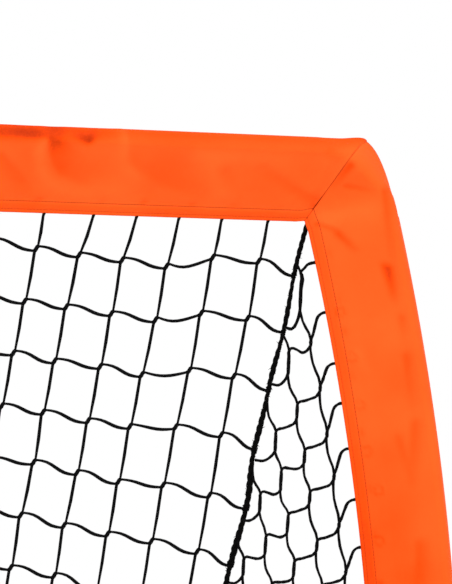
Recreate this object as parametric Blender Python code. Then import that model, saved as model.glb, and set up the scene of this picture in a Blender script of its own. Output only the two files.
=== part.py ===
"""Folding soccer goal: a sprung mouth frame in sewn sleeves, hinged on a U-shaped steel base, with a net.

The goal stands on the floor at z = 0, centred on x = 0 and y = 0. Its mouth faces -Y and its net runs back
to +Y. Left and right are as seen from in front. Every size is in metres.
"""

import math

import bmesh
import bpy
from mathutils import Vector

# Overall size
WIDTH = 1.83  # across the bowed sleeves at mid height
HEIGHT = 1.22  # floor to the top of the crossbar sleeve
DEPTH = 0.61  # front of the hinge housings to the back of the rear corners

# Sprung poles of the mouth
POLE_OD = 0.016
POLE_WALL = 0.003
BOW_RADIUS = 2.13  # the posts are sprung into this arc
BOW_MID_Z = 0.62  # height of the widest point of the bow
ELBOW_RADIUS = 0.08  # bend of the top corner, at its centre line
ELBOW_STUB = 0.01  # straight stretch of the elbow before the crossbar
SPIGOT_OD = 0.0094
SPIGOT_LENGTH = 0.045
ELBOW_BORE = 0.006
FERRULE_OD = 0.0094
FERRULE_BORE = 0.007
FERRULE_LENGTH = 0.09
SHOCK_CORD_OD = 0.003
SHOCK_KNOT_OD = 0.0088
SHOCK_KNOT_LENGTH = 0.008

# Sewn sleeves
CLOTH = 0.001
BAND_WIDTH = 0.083  # from the fold over the pole to the hem
SLEEVE_EASE = 0.0006  # room between the pole and the cloth
BAR_BAND_TILT = math.radians(28)  # the crossbar band is drawn back by the net
POST_BAND_TURN = math.radians(25)  # the post bands are drawn back by the side nets
TAPER_LENGTH = 0.026  # from the middle of the pole to where the two layers meet
FOLD_SLACK = 0.0005
HEM_SHARE = 0.7  # thickness of the two layers at the hem, against that of the flap
CORNER_EASE = 0.0032  # more room round the bent elbow than round a straight pole
CORNER_CUT = 0.018  # how far the corner of the cloth is pulled in from a square corner
CORNER_CUT_DECAY = 0.03
MITRE_LEAN = 0.551  # how far the mitre seam moves in for each metre that it drops
MITRE_GAP = 0.0005
CROSSBAR_SHARES = (0, 0.3, 0.65, 1)  # where the crossbar sleeve has sections, from plain to mitred
POST_SHARES = (1, 0.75, 0.5, 0.25)  # the same for the post sleeves, from the mitre down

# Nets, drawn with a coarser mesh than the real 50 mm
NET_CELL = 0.12
NET_STRAND = 0.005
NET_THICKNESS = 0.003
SIDE_NET_STEPS = 7
ROPE_OD = 0.007
ROPE_START = 0.012  # from the corner of the hem to the end of the edge rope

# Steel base
TUBE_OD = 0.025
TUBE_WALL = 0.0015
SOCKET_OD = 0.030
SOCKET_EASE = 0.0003
REAR_SOCKET_LENGTH = 0.055
REAR_SOCKET_STOP = 0.017  # from the crossing of the two sockets to the end of each tube
REAR_FERRULE_LENGTH = 0.12
REAR_FERRULE_WALL = 0.0012
STRAP_WIDTH = 0.022
STRAP_THICKNESS = 0.0015
STRAP_TAB_REACH = 0.026  # from the middle of the tube to the end of the tab
SIDE_TAB_RISE = math.radians(30)  # the tabs on the side tubes point in and up by this angle
STRAPS_PER_SIDE = 3
REAR_STRAPS = 6  # an even number, which leaves the joint in the middle of the tube bare
STRAP_INSET = 0.044  # from the end of a socket to the middle of the nearest strap

# Hinges between the mouth and the base
HINGE_Z = 0.070
CHEEK_RADIUS = 0.018
HOUSING_WIDTH = 0.025
HOUSING_BACK = 0.030
HOUSING_SHOULDER_Z = 0.034
HOUSING_ROUND_END = math.radians(-20)  # where the round top gives way to the sloping back
FRONT_SOCKET_LENGTH = 0.052
TONGUE_THICKNESS = 0.012
TONGUE_RADIUS = 0.0165
TONGUE_EASE = 0.0005
COLLAR_OD = 0.018
COLLAR_START = 0.022  # from the hinge axis, along the post
COLLAR_LENGTH = 0.006
SLEEVE_START = 0.031  # from the hinge axis to the sleeve's lower end
PIN_OD = 0.009
PIN_EASE = 0.0003
PIN_HEAD_OD = 0.014
PIN_HEAD_LENGTH = 0.002
PIN_TIP = 0.0025  # how far the pin stands out of the housing's outer side
PIN_BORE_OD = 0.0064
PIN_BORE_DEPTH = 0.019
WASHER_OD = 0.015
WASHER_THICKNESS = 0.0012
BUTTON_OD = 0.016
BUTTON_HEAD = 0.005
BUTTON_ROUND = 0.002
BUTTON_STEM_OD = 0.0058
BUTTON_STEM_LENGTH = 0.0115
BUTTON_TRAVEL = 0.004
SPRING_OD = 0.0056
SPRING_WIRE = 0.0008
SPRING_TURNS = 5

# Rubber feet
FOOT_THICKNESS = 0.0032
FOOT_INSET = 0.0015
REAR_FOOT_SIDE = 0.030

# How finely round shapes are drawn
POLE_SIDES = 14
TUBE_SIDES = 20
FINE_SIDES = 16
ARC_POINTS = 6
STRAP_SIDES = 13
TURN_POINTS = 9  # in each turn of a spring
BOW_CELLS = 11  # straight stretches that stand for each post's bow

GAP = 0.0003  # left between pieces that touch

# Places that follow from the sizes above
SLEEVE_RADIUS = POLE_OD / 2 + SLEEVE_EASE + CLOTH
FOLD = SLEEVE_RADIUS + FOLD_SLACK
BAR_Z = HEIGHT - SLEEVE_RADIUS
BOW_CENTRE_X = WIDTH / 2 - SLEEVE_RADIUS - BOW_RADIUS
ELBOW_Z = BAR_Z - ELBOW_RADIUS
ELBOW_X = BOW_CENTRE_X + math.sqrt((BOW_RADIUS - ELBOW_RADIUS) ** 2 - (ELBOW_Z - BOW_MID_Z) ** 2)
ELBOW_END = math.atan2(ELBOW_Z - BOW_MID_Z, ELBOW_X - BOW_CENTRE_X)
BOW_START_S = ELBOW_X + ELBOW_RADIUS * (math.pi / 2 - ELBOW_END)
HINGE_S = BOW_START_S + BOW_RADIUS * (ELBOW_END - math.asin((HINGE_Z - BOW_MID_Z) / BOW_RADIUS))
BOW_PITCH = (HINGE_S - BOW_START_S) / BOW_CELLS
MOUTH_Y = -DEPTH / 2 + CHEEK_RADIUS
BASE_Z = FOOT_THICKNESS + GAP
TUBE_Z = BASE_Z + SOCKET_OD / 2
REAR_Y = DEPTH / 2 - SOCKET_OD / 2
HUB_X = BOW_CENTRE_X + math.sqrt(BOW_RADIUS**2 - (HINGE_Z - BOW_MID_Z) ** 2)
TIP_X = BOW_CENTRE_X + math.sqrt((BOW_RADIUS + SLEEVE_RADIUS) ** 2 - (HEIGHT - BOW_MID_Z) ** 2) - CORNER_CUT
BAR_DOWN = Vector((0, math.sin(BAR_BAND_TILT), -math.cos(BAR_BAND_TILT)))
BAR_THROUGH = Vector((0, math.cos(BAR_BAND_TILT), math.sin(BAR_BAND_TILT)))
BACK = Vector((0, 1, 0))

# The two sides, each with the sign of its x
SIDES = {"left": -1, "right": 1}


def new_material(name, colour, roughness, metallic=0.0):
    """A plain Principled material."""
    material = bpy.data.materials.new(name)
    material.use_nodes = True
    shader = material.node_tree.nodes["Principled BSDF"]
    shader.inputs["Base Color"].default_value = (*colour, 1.0)
    shader.inputs["Roughness"].default_value = roughness
    shader.inputs["Metallic"].default_value = metallic
    material.diffuse_color = (*colour, 1.0)
    return material


def clear_scene():
    for obj in list(bpy.data.objects):
        bpy.data.objects.remove(obj)


def add_empty(name, place):
    empty = bpy.data.objects.new(name, None)
    empty.location = place
    bpy.context.scene.collection.objects.link(empty)
    return empty


def finish(name, bm, material, origin, parent=None):
    """Makes the object of a bmesh in world coordinates, with its origin where it is asked for."""
    origin = Vector(origin)
    bmesh.ops.recalc_face_normals(bm, faces=bm.faces[:])
    bmesh.ops.translate(bm, verts=bm.verts[:], vec=-origin)
    mesh = bpy.data.meshes.new(name)
    bm.to_mesh(mesh)
    bm.free()
    mesh.shade_smooth()
    mesh.set_sharp_from_angle(angle=math.radians(35))
    mesh.materials.append(material)
    obj = bpy.data.objects.new(name, mesh)
    obj.parent = parent
    obj.location = origin - (parent.location if parent else Vector())
    bpy.context.scene.collection.objects.link(obj)
    return obj


def cut_or_join(obj, other, operation):
    """Adds a Boolean with a helper object that the goal itself doesn't show."""
    other.hide_render = True
    other.display_type = "WIRE"
    modifier = obj.modifiers.new(other.name, "BOOLEAN")
    modifier.operation = operation
    modifier.solver = "EXACT"
    modifier.object = other


# Rings, tubes and turned pieces


def add_ring(bm, points):
    return [bm.verts.new(point) for point in points]


def bridge(bm, first, second):
    """A band of quads between two rings with as many points."""
    for i, corner in enumerate(first):
        j = (i + 1) % len(first)
        bm.faces.new((corner, first[j], second[j], second[i]))


def skin(bm, rings):
    rings = [add_ring(bm, points) for points in rings]
    for first, second in zip(rings, rings[1:]):
        bridge(bm, first, second)
    return rings


def solid_from_rings(rings):
    bm = bmesh.new()
    made = skin(bm, rings)
    bm.faces.new(made[0])
    bm.faces.new(made[-1])
    return bm


def hollow_from_rings(outer, inner):
    """A wall between two skins, open through its middle."""
    bm = bmesh.new()
    outside = skin(bm, outer)
    inside = skin(bm, inner)
    bridge(bm, outside[0], inside[0])
    bridge(bm, outside[-1], inside[-1])
    return bm


def circle(centre, across, along, radius, sides):
    points = []
    for i in range(sides):
        angle = 2 * math.pi * i / sides
        points.append(centre + radius * (math.cos(angle) * across + math.sin(angle) * along))
    return points


def straight_tube(start, end, radius, bore, sides=TUBE_SIDES):
    """A straight tube, or a solid rod where bore is 0."""
    run = (end - start).normalized()
    across = run.orthogonal().normalized()
    along = run.cross(across)
    outer = [circle(place, across, along, radius, sides) for place in (start, end)]
    if not bore:
        return solid_from_rings(outer)
    return hollow_from_rings(outer, [circle(place, across, along, bore, sides) for place in (start, end)])


def turned(centre, side, profile, sides=FINE_SIDES):
    """A turned piece on an axis along X: the profile is (distance outwards, radius), from end to end."""
    bm = bmesh.new()
    verts = [bm.verts.new(centre + Vector((side * out, 0, radius))) for out, radius in profile]
    edges = [bm.edges.new(pair) for pair in zip(verts, verts[1:])]
    bmesh.ops.spin(
        bm,
        geom=verts + edges,
        cent=centre,
        axis=(1, 0, 0),
        angle=2 * math.pi,
        steps=sides,
        use_merge=True,
    )
    bmesh.ops.remove_doubles(bm, verts=bm.verts[:], dist=1e-6)
    return bm


def box(low, high):
    bm = bmesh.new()
    bmesh.ops.create_cube(bm, size=1)
    low, high = Vector(low), Vector(high)
    bmesh.ops.scale(bm, verts=bm.verts[:], vec=high - low)
    bmesh.ops.translate(bm, verts=bm.verts[:], vec=(low + high) / 2)
    return bm


def mirrored_x(side, near, far):
    """The low and high x of a stretch that is measured outwards from the hub's middle."""
    ends = sorted((side * (HUB_X + near), side * (HUB_X + far)))
    return ends[0], ends[1]


# The line of the sprung poles: s runs from the middle of the crossbar, round the elbow and down the post


def pole_station(s, side):
    """The pole's centre at s and the direction that points out of the mouth there."""
    if s < ELBOW_X:
        return Vector((side * s, MOUTH_Y, BAR_Z)), Vector((0, 0, 1))
    if s < BOW_START_S:
        angle = math.pi / 2 - (s - ELBOW_X) / ELBOW_RADIUS
        x = ELBOW_X + ELBOW_RADIUS * math.cos(angle)
        z = ELBOW_Z + ELBOW_RADIUS * math.sin(angle)
        return Vector((side * x, MOUTH_Y, z)), Vector((side * math.cos(angle), 0, math.sin(angle)))
    cell, share = divmod((s - BOW_START_S) / BOW_PITCH, 1)
    centre = bow_node(cell).lerp(bow_node(cell + 1), share)
    centre.x *= side
    angle = ELBOW_END - (s - BOW_START_S) / BOW_RADIUS
    return centre, Vector((side * math.cos(angle), 0, math.sin(angle)))


def bow_node(cell):
    """A corner of the many-sided line that stands for the bow, which all its pieces share."""
    angle = ELBOW_END - cell * BOW_PITCH / BOW_RADIUS
    x = BOW_CENTRE_X + BOW_RADIUS * math.cos(angle)
    return Vector((x, MOUTH_Y, BOW_MID_Z + BOW_RADIUS * math.sin(angle)))


def bow_places(start, end):
    """The two ends of a stretch of the bow, with every corner of its line between them."""
    first = math.floor((start - BOW_START_S) / BOW_PITCH) + 1
    last = math.ceil((end - BOW_START_S) / BOW_PITCH) - 1
    return [start, *(BOW_START_S + cell * BOW_PITCH for cell in range(first, last + 1)), end]


def pole_ring(s, radius, side):
    centre, outward = pole_station(s, side)
    return circle(centre, outward, BACK, radius, POLE_SIDES)


def evenly(start, end, steps):
    return [start + (end - start) * i / steps for i in range(steps + 1)]


def pole_tube(places, diameter, bore, side):
    outer = [pole_ring(s, diameter / 2, side) for s in places]
    return hollow_from_rings(outer, [pole_ring(s, bore / 2, side) for s in places])


POST_FOOT_S = HINGE_S - COLLAR_START - COLLAR_LENGTH - GAP
ELBOW_LOW_S = BOW_START_S + ELBOW_STUB
POST_TOP_S = ELBOW_LOW_S + GAP
POST_JOINT_S = (POST_FOOT_S + POST_TOP_S) / 2
BAR_END_S = ELBOW_X - ELBOW_STUB - GAP
POLE_BORE = POLE_OD - 2 * POLE_WALL


def make_poles(materials, mouth):
    """The fibreglass poles, in two lengths each, with their ferrules and the elastic cord inside."""
    fibreglass, steel, elastic = materials["fibreglass"], materials["steel"], materials["elastic"]
    for name, side in SIDES.items():
        halves = (
            (f"crossbar_{name}", [GAP / 2, BAR_END_S]),
            (f"post_upper_{name}", bow_places(POST_TOP_S, POST_JOINT_S - GAP / 2)),
            (f"post_lower_{name}", bow_places(POST_JOINT_S + GAP / 2, POST_FOOT_S)),
        )
        for piece, places in halves:
            bm = pole_tube(places, POLE_OD, POLE_BORE, side)
            finish(piece, bm, fibreglass, pole_station(places[0], side)[0], mouth)
        places = bow_places(POST_JOINT_S - FERRULE_LENGTH / 2, POST_JOINT_S + FERRULE_LENGTH / 2)
        bm = pole_tube(places, FERRULE_OD, FERRULE_BORE, side)
        finish(f"post_ferrule_{name}", bm, steel, pole_station(POST_JOINT_S, side)[0], mouth)
        places = bow_places(POST_TOP_S + SPIGOT_LENGTH + GAP, POST_FOOT_S - SPIGOT_LENGTH - GAP)
        make_shock_cord(f"post_cord_{name}", places, side, elastic, mouth)
    bm = pole_tube([-FERRULE_LENGTH / 2, FERRULE_LENGTH / 2], FERRULE_OD, FERRULE_BORE, 1)
    finish("crossbar_ferrule", bm, steel, pole_station(0, 1)[0], mouth)
    cord_end = BAR_END_S - SPIGOT_LENGTH - GAP
    make_shock_cord("crossbar_cord", [-cord_end, cord_end], 1, elastic, mouth)


def make_shock_cord(name, places, side, material, mouth):
    """An elastic cord with a knot at each end, which is wider than the ferrule's bore."""
    start, *middle, end = places
    knot, cord = SHOCK_KNOT_OD / 2, SHOCK_CORD_OD / 2
    inner_start, inner_end = start + SHOCK_KNOT_LENGTH, end - SHOCK_KNOT_LENGTH
    outline = [(start, knot), (inner_start, knot), (inner_start, cord)]
    outline += [(s, cord) for s in middle if inner_start < s < inner_end]
    outline += [(inner_end, cord), (inner_end, knot), (end, knot)]
    rings = [pole_ring(s, radius, side) for s, radius in outline]
    finish(name, solid_from_rings(rings), material, pole_station(start, side)[0], mouth)


def make_elbows(material, mouth):
    """The bent top corners: a tube as thick as the poles, with a spigot into each of them."""
    for name, side in SIDES.items():
        start, end = ELBOW_X - ELBOW_STUB, ELBOW_LOW_S
        spigot, full = SPIGOT_OD / 2, POLE_OD / 2
        outline = [(start - SPIGOT_LENGTH, spigot), (start, spigot), (start, full)]
        outline += [(s, full) for s in evenly(ELBOW_X, BOW_START_S, 8)]
        outline += [(end, full), (end, spigot), (end + SPIGOT_LENGTH, spigot)]
        outer = [pole_ring(s, radius, side) for s, radius in outline]
        bore_places = [start - SPIGOT_LENGTH, *evenly(ELBOW_X, BOW_START_S, 6), end + SPIGOT_LENGTH]
        inner = [pole_ring(s, ELBOW_BORE / 2, side) for s in bore_places]
        bm = hollow_from_rings(outer, inner)
        finish(f"top_corner_{name}", bm, material, pole_station(start, side)[0], mouth)


# Sleeves: each is a band of doubled cloth with a channel for the pole along its fold


def tangent_points(centre, radius, fold, ends):
    """Arcs of the cloth round the pole, above and below, each from the fold's side to the flap's side."""
    to_fold = math.atan2(fold[1] - centre[1], fold[0] - centre[0]) % (2 * math.pi)
    fold_turn = math.acos(min(1, radius / math.hypot(fold[0] - centre[0], fold[1] - centre[1])))
    sides = []
    for end, sign in zip(ends, (1, -1)):
        to_end = math.atan2(end[1] - centre[1], end[0] - centre[0])
        end_turn = math.acos(radius / math.hypot(end[0] - centre[0], end[1] - centre[1]))
        if sign > 0:
            angles = evenly(to_fold - fold_turn, to_end + end_turn, ARC_POINTS - 1)
        else:
            angles = evenly(to_fold + fold_turn, 2 * math.pi + to_end - end_turn, ARC_POINTS - 1)
        arc = [(centre[0] + radius * math.cos(a), centre[1] + radius * math.sin(a)) for a in angles]
        sides.append(arc)
    return sides


def sleeve_section(pole, ease=0.0, fold=(0.0, 0.0)):
    """The outer and inner outlines of a sleeve: u runs from the fold to the hem, v through the cloth."""
    radius = SLEEVE_RADIUS + ease
    flap = pole[0] + TAPER_LENGTH + ease
    channel_end = flap - CLOTH
    outlines = []
    for inset, flap_start, flap_end, half in (
        (0, flap, BAND_WIDTH, CLOTH),
        (CLOTH, channel_end - 3 * CLOTH, channel_end, GAP),
    ):
        start = (fold[0] + inset, fold[1])
        ends = ((flap_start, half), (flap_start, -half))
        upper, lower = tangent_points(pole, radius - inset, start, ends)
        hem = ((flap_end, half * HEM_SHARE), (flap_end, -half * HEM_SHARE))
        outlines.append([start, *upper, ends[0], *hem, ends[1], *reversed(lower)])
    return outlines


def mitre_x(z, gap):
    """The mitre seam's plane: its x at a height, on the right side."""
    return TIP_X - (HEIGHT - z) * MITRE_LEAN + gap


def between(low, high, wanted, measure):
    """The value between low and high where a rising measure reaches the wanted one."""
    for _ in range(50):
        middle = (low + high) / 2
        if measure(middle) < wanted:
            low = middle
        else:
            high = middle
    return low


def elbow_point(angle):
    return Vector(
        (ELBOW_X + ELBOW_RADIUS * math.cos(angle), MOUTH_Y, ELBOW_Z + ELBOW_RADIUS * math.sin(angle))
    )


BAR_FOLD = Vector((0, MOUTH_Y, BAR_Z)) - FOLD * BAR_DOWN
BAR_HEM = BAR_FOLD + BAND_WIDTH * BAR_DOWN
BAR_PLAIN_END = min(ELBOW_X, mitre_x(BAR_HEM.z, 0)) - ELBOW_STUB


def crossbar_section(share):
    """Outlines at a share of the way from the last straight section to the mitre, on the right side."""

    def plane_x(z):
        return BAR_PLAIN_END + share * (mitre_x(z, -MITRE_GAP) - BAR_PLAIN_END)

    def past_plane(angle):
        place = elbow_point(math.pi / 2 - angle)
        return place.x - plane_x(place.z)

    centre = elbow_point(math.pi / 2 - between(0, math.pi / 2 - ELBOW_END, 0, past_plane))
    pole = ((centre - BAR_FOLD).dot(BAR_DOWN), (centre - BAR_FOLD).dot(BAR_THROUGH))
    outlines = []
    for outline in sleeve_section(pole, share**2 * CORNER_EASE):
        points = [BAR_FOLD + u * BAR_DOWN + v * BAR_THROUGH for u, v in outline]
        outlines.append([Vector((plane_x(point.z), point.y, point.z)) for point in points])
    return outlines


def make_crossbar_sleeve(material, mouth):
    right = [crossbar_section(share) for share in CROSSBAR_SHARES]
    left = [[[Vector((-p.x, p.y, p.z)) for p in outline] for outline in pair] for pair in reversed(right)]
    stations = left + right
    bm = hollow_from_rings([pair[0] for pair in stations], [pair[1] for pair in stations])
    finish("crossbar_sleeve", bm, material, (0, MOUTH_Y, BAR_Z), mouth)


def post_axes(s):
    """The post's centre at s with the directions to its hem and through its band, on the right side."""
    centre, outward = pole_station(s, 1)
    to_hem = -math.cos(POST_BAND_TURN) * outward + math.sin(POST_BAND_TURN) * BACK
    through = math.sin(POST_BAND_TURN) * outward + math.cos(POST_BAND_TURN) * BACK
    return centre, to_hem, through


def post_hem(z):
    """The hem's edge on the right post at a height, or on the bow carried on below it."""

    def hem_height(drop):
        centre, to_hem, _ = post_axes(BOW_START_S + drop)
        return -(centre + (BAND_WIDTH - FOLD) * to_hem).z

    drop = between(0, HINGE_S - BOW_START_S + HINGE_Z, -z, hem_height)
    centre, to_hem, _ = post_axes(BOW_START_S + drop)
    return centre + (BAND_WIDTH - FOLD) * to_hem


def post_corner_section(share):
    """Outlines at a share of the way from the top of the bow to the mitre, on the right side."""
    centre, to_hem, through = post_axes(BOW_START_S)
    fold = centre - FOLD * to_hem
    up = Vector((-math.sin(ELBOW_END), 0, math.cos(ELBOW_END)))

    def reach(point):
        """How far the point is from the mitre's plane along the post."""
        return (mitre_x(point.z, MITRE_GAP) - point.x) / (up.x - MITRE_LEAN * up.z)

    def share_passed(angle):
        place = elbow_point(ELBOW_END + angle)
        along = (place - fold).dot(up)
        return along / reach(place - along * up)

    place = elbow_point(ELBOW_END + between(0, math.pi / 2 - ELBOW_END, share, share_passed))
    pole = ((place - fold).dot(to_hem), (place - fold).dot(through))
    cut = CORNER_CUT * math.exp(-(1 - share) * reach(fold) / CORNER_CUT_DECAY)
    corner = (cut * math.cos(POST_BAND_TURN), -cut * math.sin(POST_BAND_TURN))
    outlines = []
    for outline in sleeve_section(pole, share * CORNER_EASE, corner):
        points = [fold + u * to_hem + v * through for u, v in outline]
        outlines.append([point + share * reach(point) * up for point in points])
    return outlines


def make_post_sleeves(material, mouth):
    stations = [post_corner_section(share) for share in POST_SHARES]
    for s in bow_places(BOW_START_S, HINGE_S - SLEEVE_START):
        centre, to_hem, through = post_axes(s)
        fold = centre - FOLD * to_hem
        pair = sleeve_section((FOLD, 0))
        stations.append([[fold + u * to_hem + v * through for u, v in outline] for outline in pair])
    for name, side in SIDES.items():
        turned_over = [
            [[Vector((side * p.x, p.y, p.z)) for p in outline] for outline in pair] for pair in stations
        ]
        bm = hollow_from_rings([pair[0] for pair in turned_over], [pair[1] for pair in turned_over])
        finish(f"post_sleeve_{name}", bm, material, (side * HUB_X, MOUTH_Y, HINGE_Z), mouth)


# Nets and their edge ropes

HEM_CORNER = Vector((mitre_x(BAR_HEM.z, 0), BAR_HEM.y, BAR_HEM.z))
SLOPE = (Vector((0, REAR_Y, TUBE_Z)) - BAR_HEM).normalized()
BACK_NET_TOP = BAR_HEM + GAP * BAR_DOWN
BACK_NET_FOOT = Vector((0, REAR_Y, TUBE_Z)) - (STRAP_TAB_REACH + GAP) * SLOPE
SIDE_NET_REACH = STRAP_TAB_REACH + NET_THICKNESS / 2 + GAP
SIDE_NET_FOOT_X = HUB_X - SIDE_NET_REACH * math.cos(SIDE_TAB_RISE)
SIDE_NET_FOOT_Z = TUBE_Z + SIDE_NET_REACH * math.sin(SIDE_TAB_RISE)
ROPE_FOOT = Vector((SIDE_NET_FOOT_X - ROPE_OD, BACK_NET_FOOT.y, BACK_NET_FOOT.z))
ROPE_CLEAR = ROPE_OD / 2 + GAP


def on_rope(z):
    """The rope's centre line at a height, on the right side."""
    share = (HEM_CORNER.z - z) / (HEM_CORNER.z - ROPE_FOOT.z)
    return HEM_CORNER.lerp(ROPE_FOOT, share)


def net_panel(name, rows, material):
    """An open net over a grid of points: each cell's middle is taken out and the rest gets a thickness."""
    bm = bmesh.new()
    grid = [[bm.verts.new(point) for point in row] for row in rows]
    for near, far in zip(grid, grid[1:]):
        for i in range(len(far) - 1):
            bm.faces.new((near[i], near[i + 1], far[i + 1], far[i]))
        if len(near) > len(far):
            bm.faces.new((near[-2], near[-1], far[-1]))
    bm.normal_update()
    cells = bm.faces[:]
    bmesh.ops.inset_individual(bm, faces=cells, thickness=NET_STRAND / 2, use_even_offset=True)
    bmesh.ops.delete(bm, geom=cells, context="FACES")
    net = finish(name, bm, material, rows[0][0])
    thicken = net.modifiers.new("thickness", "SOLIDIFY")
    thicken.thickness = NET_THICKNESS
    thicken.offset = 0
    return net


def make_back_net(material):
    columns = 2 * round(HEM_CORNER.x / NET_CELL)
    rows = round((BACK_NET_TOP - BACK_NET_FOOT).length / NET_CELL)
    grid = []
    for row in evenly(0, 1, rows):
        centre = BACK_NET_TOP.lerp(BACK_NET_FOOT, row)
        half = on_rope(centre.z).x - ROPE_CLEAR
        grid.append([centre + Vector((half * place, 0, 0)) for place in evenly(-1, 1, columns)])
    net_panel("back_net", grid, material)


def side_net_rows():
    """The right side net's points, row by row upwards: a new column starts where each row meets the rope."""
    heights = evenly(SIDE_NET_FOOT_Z, HEM_CORNER.z - 2 * ROPE_START, SIDE_NET_STEPS)
    hem_side = [post_hem(z) + (CLOTH + GAP) * BACK for z in heights]
    rope_side = [on_rope(z) + ROPE_CLEAR / SLOPE.z * BACK for z in heights]
    hem_side[0].x = rope_side[0].x = SIDE_NET_FOOT_X
    rows = []
    for step, (front, rear) in enumerate(zip(hem_side, rope_side)):
        columns = [front.y, *(place.y for place in reversed(rope_side[step:]))]
        rows.append([front.lerp(rear, (y - front.y) / (rear.y - front.y)) for y in columns])
    return rows


def make_side_nets(material):
    """Each side net is a triangle between the post's hem, the edge rope and the base."""
    for name, side in SIDES.items():
        grid = [[Vector((side * p.x, p.y, p.z)) for p in row] for row in side_net_rows()]
        net_panel(f"{name}_side_net", grid, material)


def make_edge_ropes(material):
    for name, side in SIDES.items():
        run = (ROPE_FOOT - HEM_CORNER).normalized()
        start = HEM_CORNER + ROPE_START * run
        ends = [Vector((side * p.x, p.y, p.z)) for p in (start, ROPE_FOOT)]
        bm = straight_tube(ends[0], ends[1], ROPE_OD / 2, 0, 8)
        finish(f"{name}_edge_rope", bm, material, ends[0])


# Steel base

FRONT_TUBE_Y = MOUTH_Y + HOUSING_BACK + GAP
SIDE_TUBE_END_Y = REAR_Y - REAR_SOCKET_STOP


def make_base_tubes(material):
    for name, side in SIDES.items():
        start = Vector((side * HUB_X, FRONT_TUBE_Y, TUBE_Z))
        end = Vector((side * HUB_X, SIDE_TUBE_END_Y, TUBE_Z))
        bm = straight_tube(start, end, TUBE_OD / 2, TUBE_OD / 2 - TUBE_WALL)
        finish(f"{name}_ground_tube", bm, material, start)
        start = Vector((side * GAP / 2, REAR_Y, TUBE_Z))
        end = Vector((side * (HUB_X - REAR_SOCKET_STOP), REAR_Y, TUBE_Z))
        bm = straight_tube(start, end, TUBE_OD / 2, TUBE_OD / 2 - TUBE_WALL)
        finish(f"rear_tube_{name}", bm, material, start)


def make_rear_ferrule(material):
    radius = TUBE_OD / 2 - TUBE_WALL - GAP
    ends = [Vector((x, REAR_Y, TUBE_Z)) for x in (-REAR_FERRULE_LENGTH / 2, REAR_FERRULE_LENGTH / 2)]
    bm = straight_tube(ends[0], ends[1], radius, radius - REAR_FERRULE_WALL)
    finish("rear_ferrule", bm, material, ends[0])


def make_rear_corners(plastic, rubber):
    """Moulded elbows that join the side tubes to the rear tube, each on a rubber foot."""
    bore = TUBE_OD / 2 + SOCKET_EASE
    for name, side in SIDES.items():
        middle = Vector((side * HUB_X, REAR_Y, TUBE_Z))
        forward = Vector((0, -1, 0))
        inward = Vector((-side, 0, 0))
        bm = straight_tube(middle, middle + REAR_SOCKET_LENGTH * forward, SOCKET_OD / 2, 0)
        corner = finish(f"rear_corner_{name}", bm, plastic, middle)
        bm = straight_tube(middle, middle + REAR_SOCKET_LENGTH * inward, SOCKET_OD / 2, 0)
        cut_or_join(corner, finish(f"rear_socket_{name}", bm, plastic, middle), "UNION")
        bm = bmesh.new()
        bmesh.ops.create_uvsphere(bm, u_segments=TUBE_SIDES, v_segments=10, radius=SOCKET_OD / 2)
        bmesh.ops.translate(bm, verts=bm.verts[:], vec=middle)
        cut_or_join(corner, finish(f"rear_ball_{name}", bm, plastic, middle), "UNION")
        half = REAR_FOOT_SIDE / 2
        low, high = mirrored_x(side, -half, half)
        bm = box((low, REAR_Y - half, BASE_Z), (high, REAR_Y + half, TUBE_Z))
        cut_or_join(corner, finish(f"rear_base_{name}", bm, plastic, middle), "UNION")
        for way, label in ((forward, "side"), (inward, "rear")):
            start = middle + (REAR_SOCKET_STOP - GAP) * way
            bm = straight_tube(start, middle + 2 * REAR_SOCKET_LENGTH * way, bore, 0)
            cut_or_join(corner, finish(f"{label}_bore_{name}", bm, plastic, middle), "DIFFERENCE")
        inset = half - FOOT_INSET
        low, high = mirrored_x(side, -inset, inset)
        bm = box((low, REAR_Y - inset, 0), (high, REAR_Y + inset, FOOT_THICKNESS))
        finish(f"rear_foot_{name}", bm, rubber, (middle.x, REAR_Y, 0))


def strap_outline(radius, tab_half, tab_reach):
    """A ring round the tube whose outline runs out into a flat tab along +u."""
    opening = math.asin(tab_half / radius)
    around = evenly(opening, 2 * math.pi - opening, STRAP_SIDES)
    ring = [(radius * math.cos(a), radius * math.sin(a)) for a in around]
    return [*ring, (tab_reach, -tab_half), (tab_reach, tab_half)]


def make_strap(name, centre, run, tab, material):
    """A webbing strap round a base tube: run is the tube's direction and tab points to the net."""
    up = run.cross(tab)
    bore = (TUBE_OD / 2 + GAP) / math.cos(math.pi / STRAP_SIDES)
    skins = []
    for radius, half, reach in (
        (bore + STRAP_THICKNESS, STRAP_THICKNESS / 2, STRAP_TAB_REACH),
        (bore, STRAP_THICKNESS / 4, bore),
    ):
        outline = [centre + u * tab + v * up for u, v in strap_outline(radius, half, reach)]
        skins.append([[point + x * run for point in outline] for x in (-STRAP_WIDTH / 2, STRAP_WIDTH / 2)])
    finish(name, hollow_from_rings(*skins), material, centre)


def make_straps(material):
    reach = HUB_X - REAR_SOCKET_LENGTH - STRAP_INSET
    for i, x in enumerate(evenly(-reach, reach, REAR_STRAPS - 1)):
        make_strap(f"rear_strap_{i + 1}", Vector((x, REAR_Y, TUBE_Z)), Vector((1, 0, 0)), -SLOPE, material)
    for name, side in SIDES.items():
        tab = Vector((-side * math.cos(SIDE_TAB_RISE), 0, math.sin(SIDE_TAB_RISE)))
        first = FRONT_TUBE_Y + FRONT_SOCKET_LENGTH + STRAP_INSET
        last = REAR_Y - REAR_SOCKET_LENGTH - STRAP_INSET
        for i, y in enumerate(evenly(first, last, STRAPS_PER_SIDE - 1)):
            centre = Vector((side * HUB_X, y, TUBE_Z))
            make_strap(f"{name}_strap_{i + 1}", centre, BACK, tab, material)


# Hinges


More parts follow.
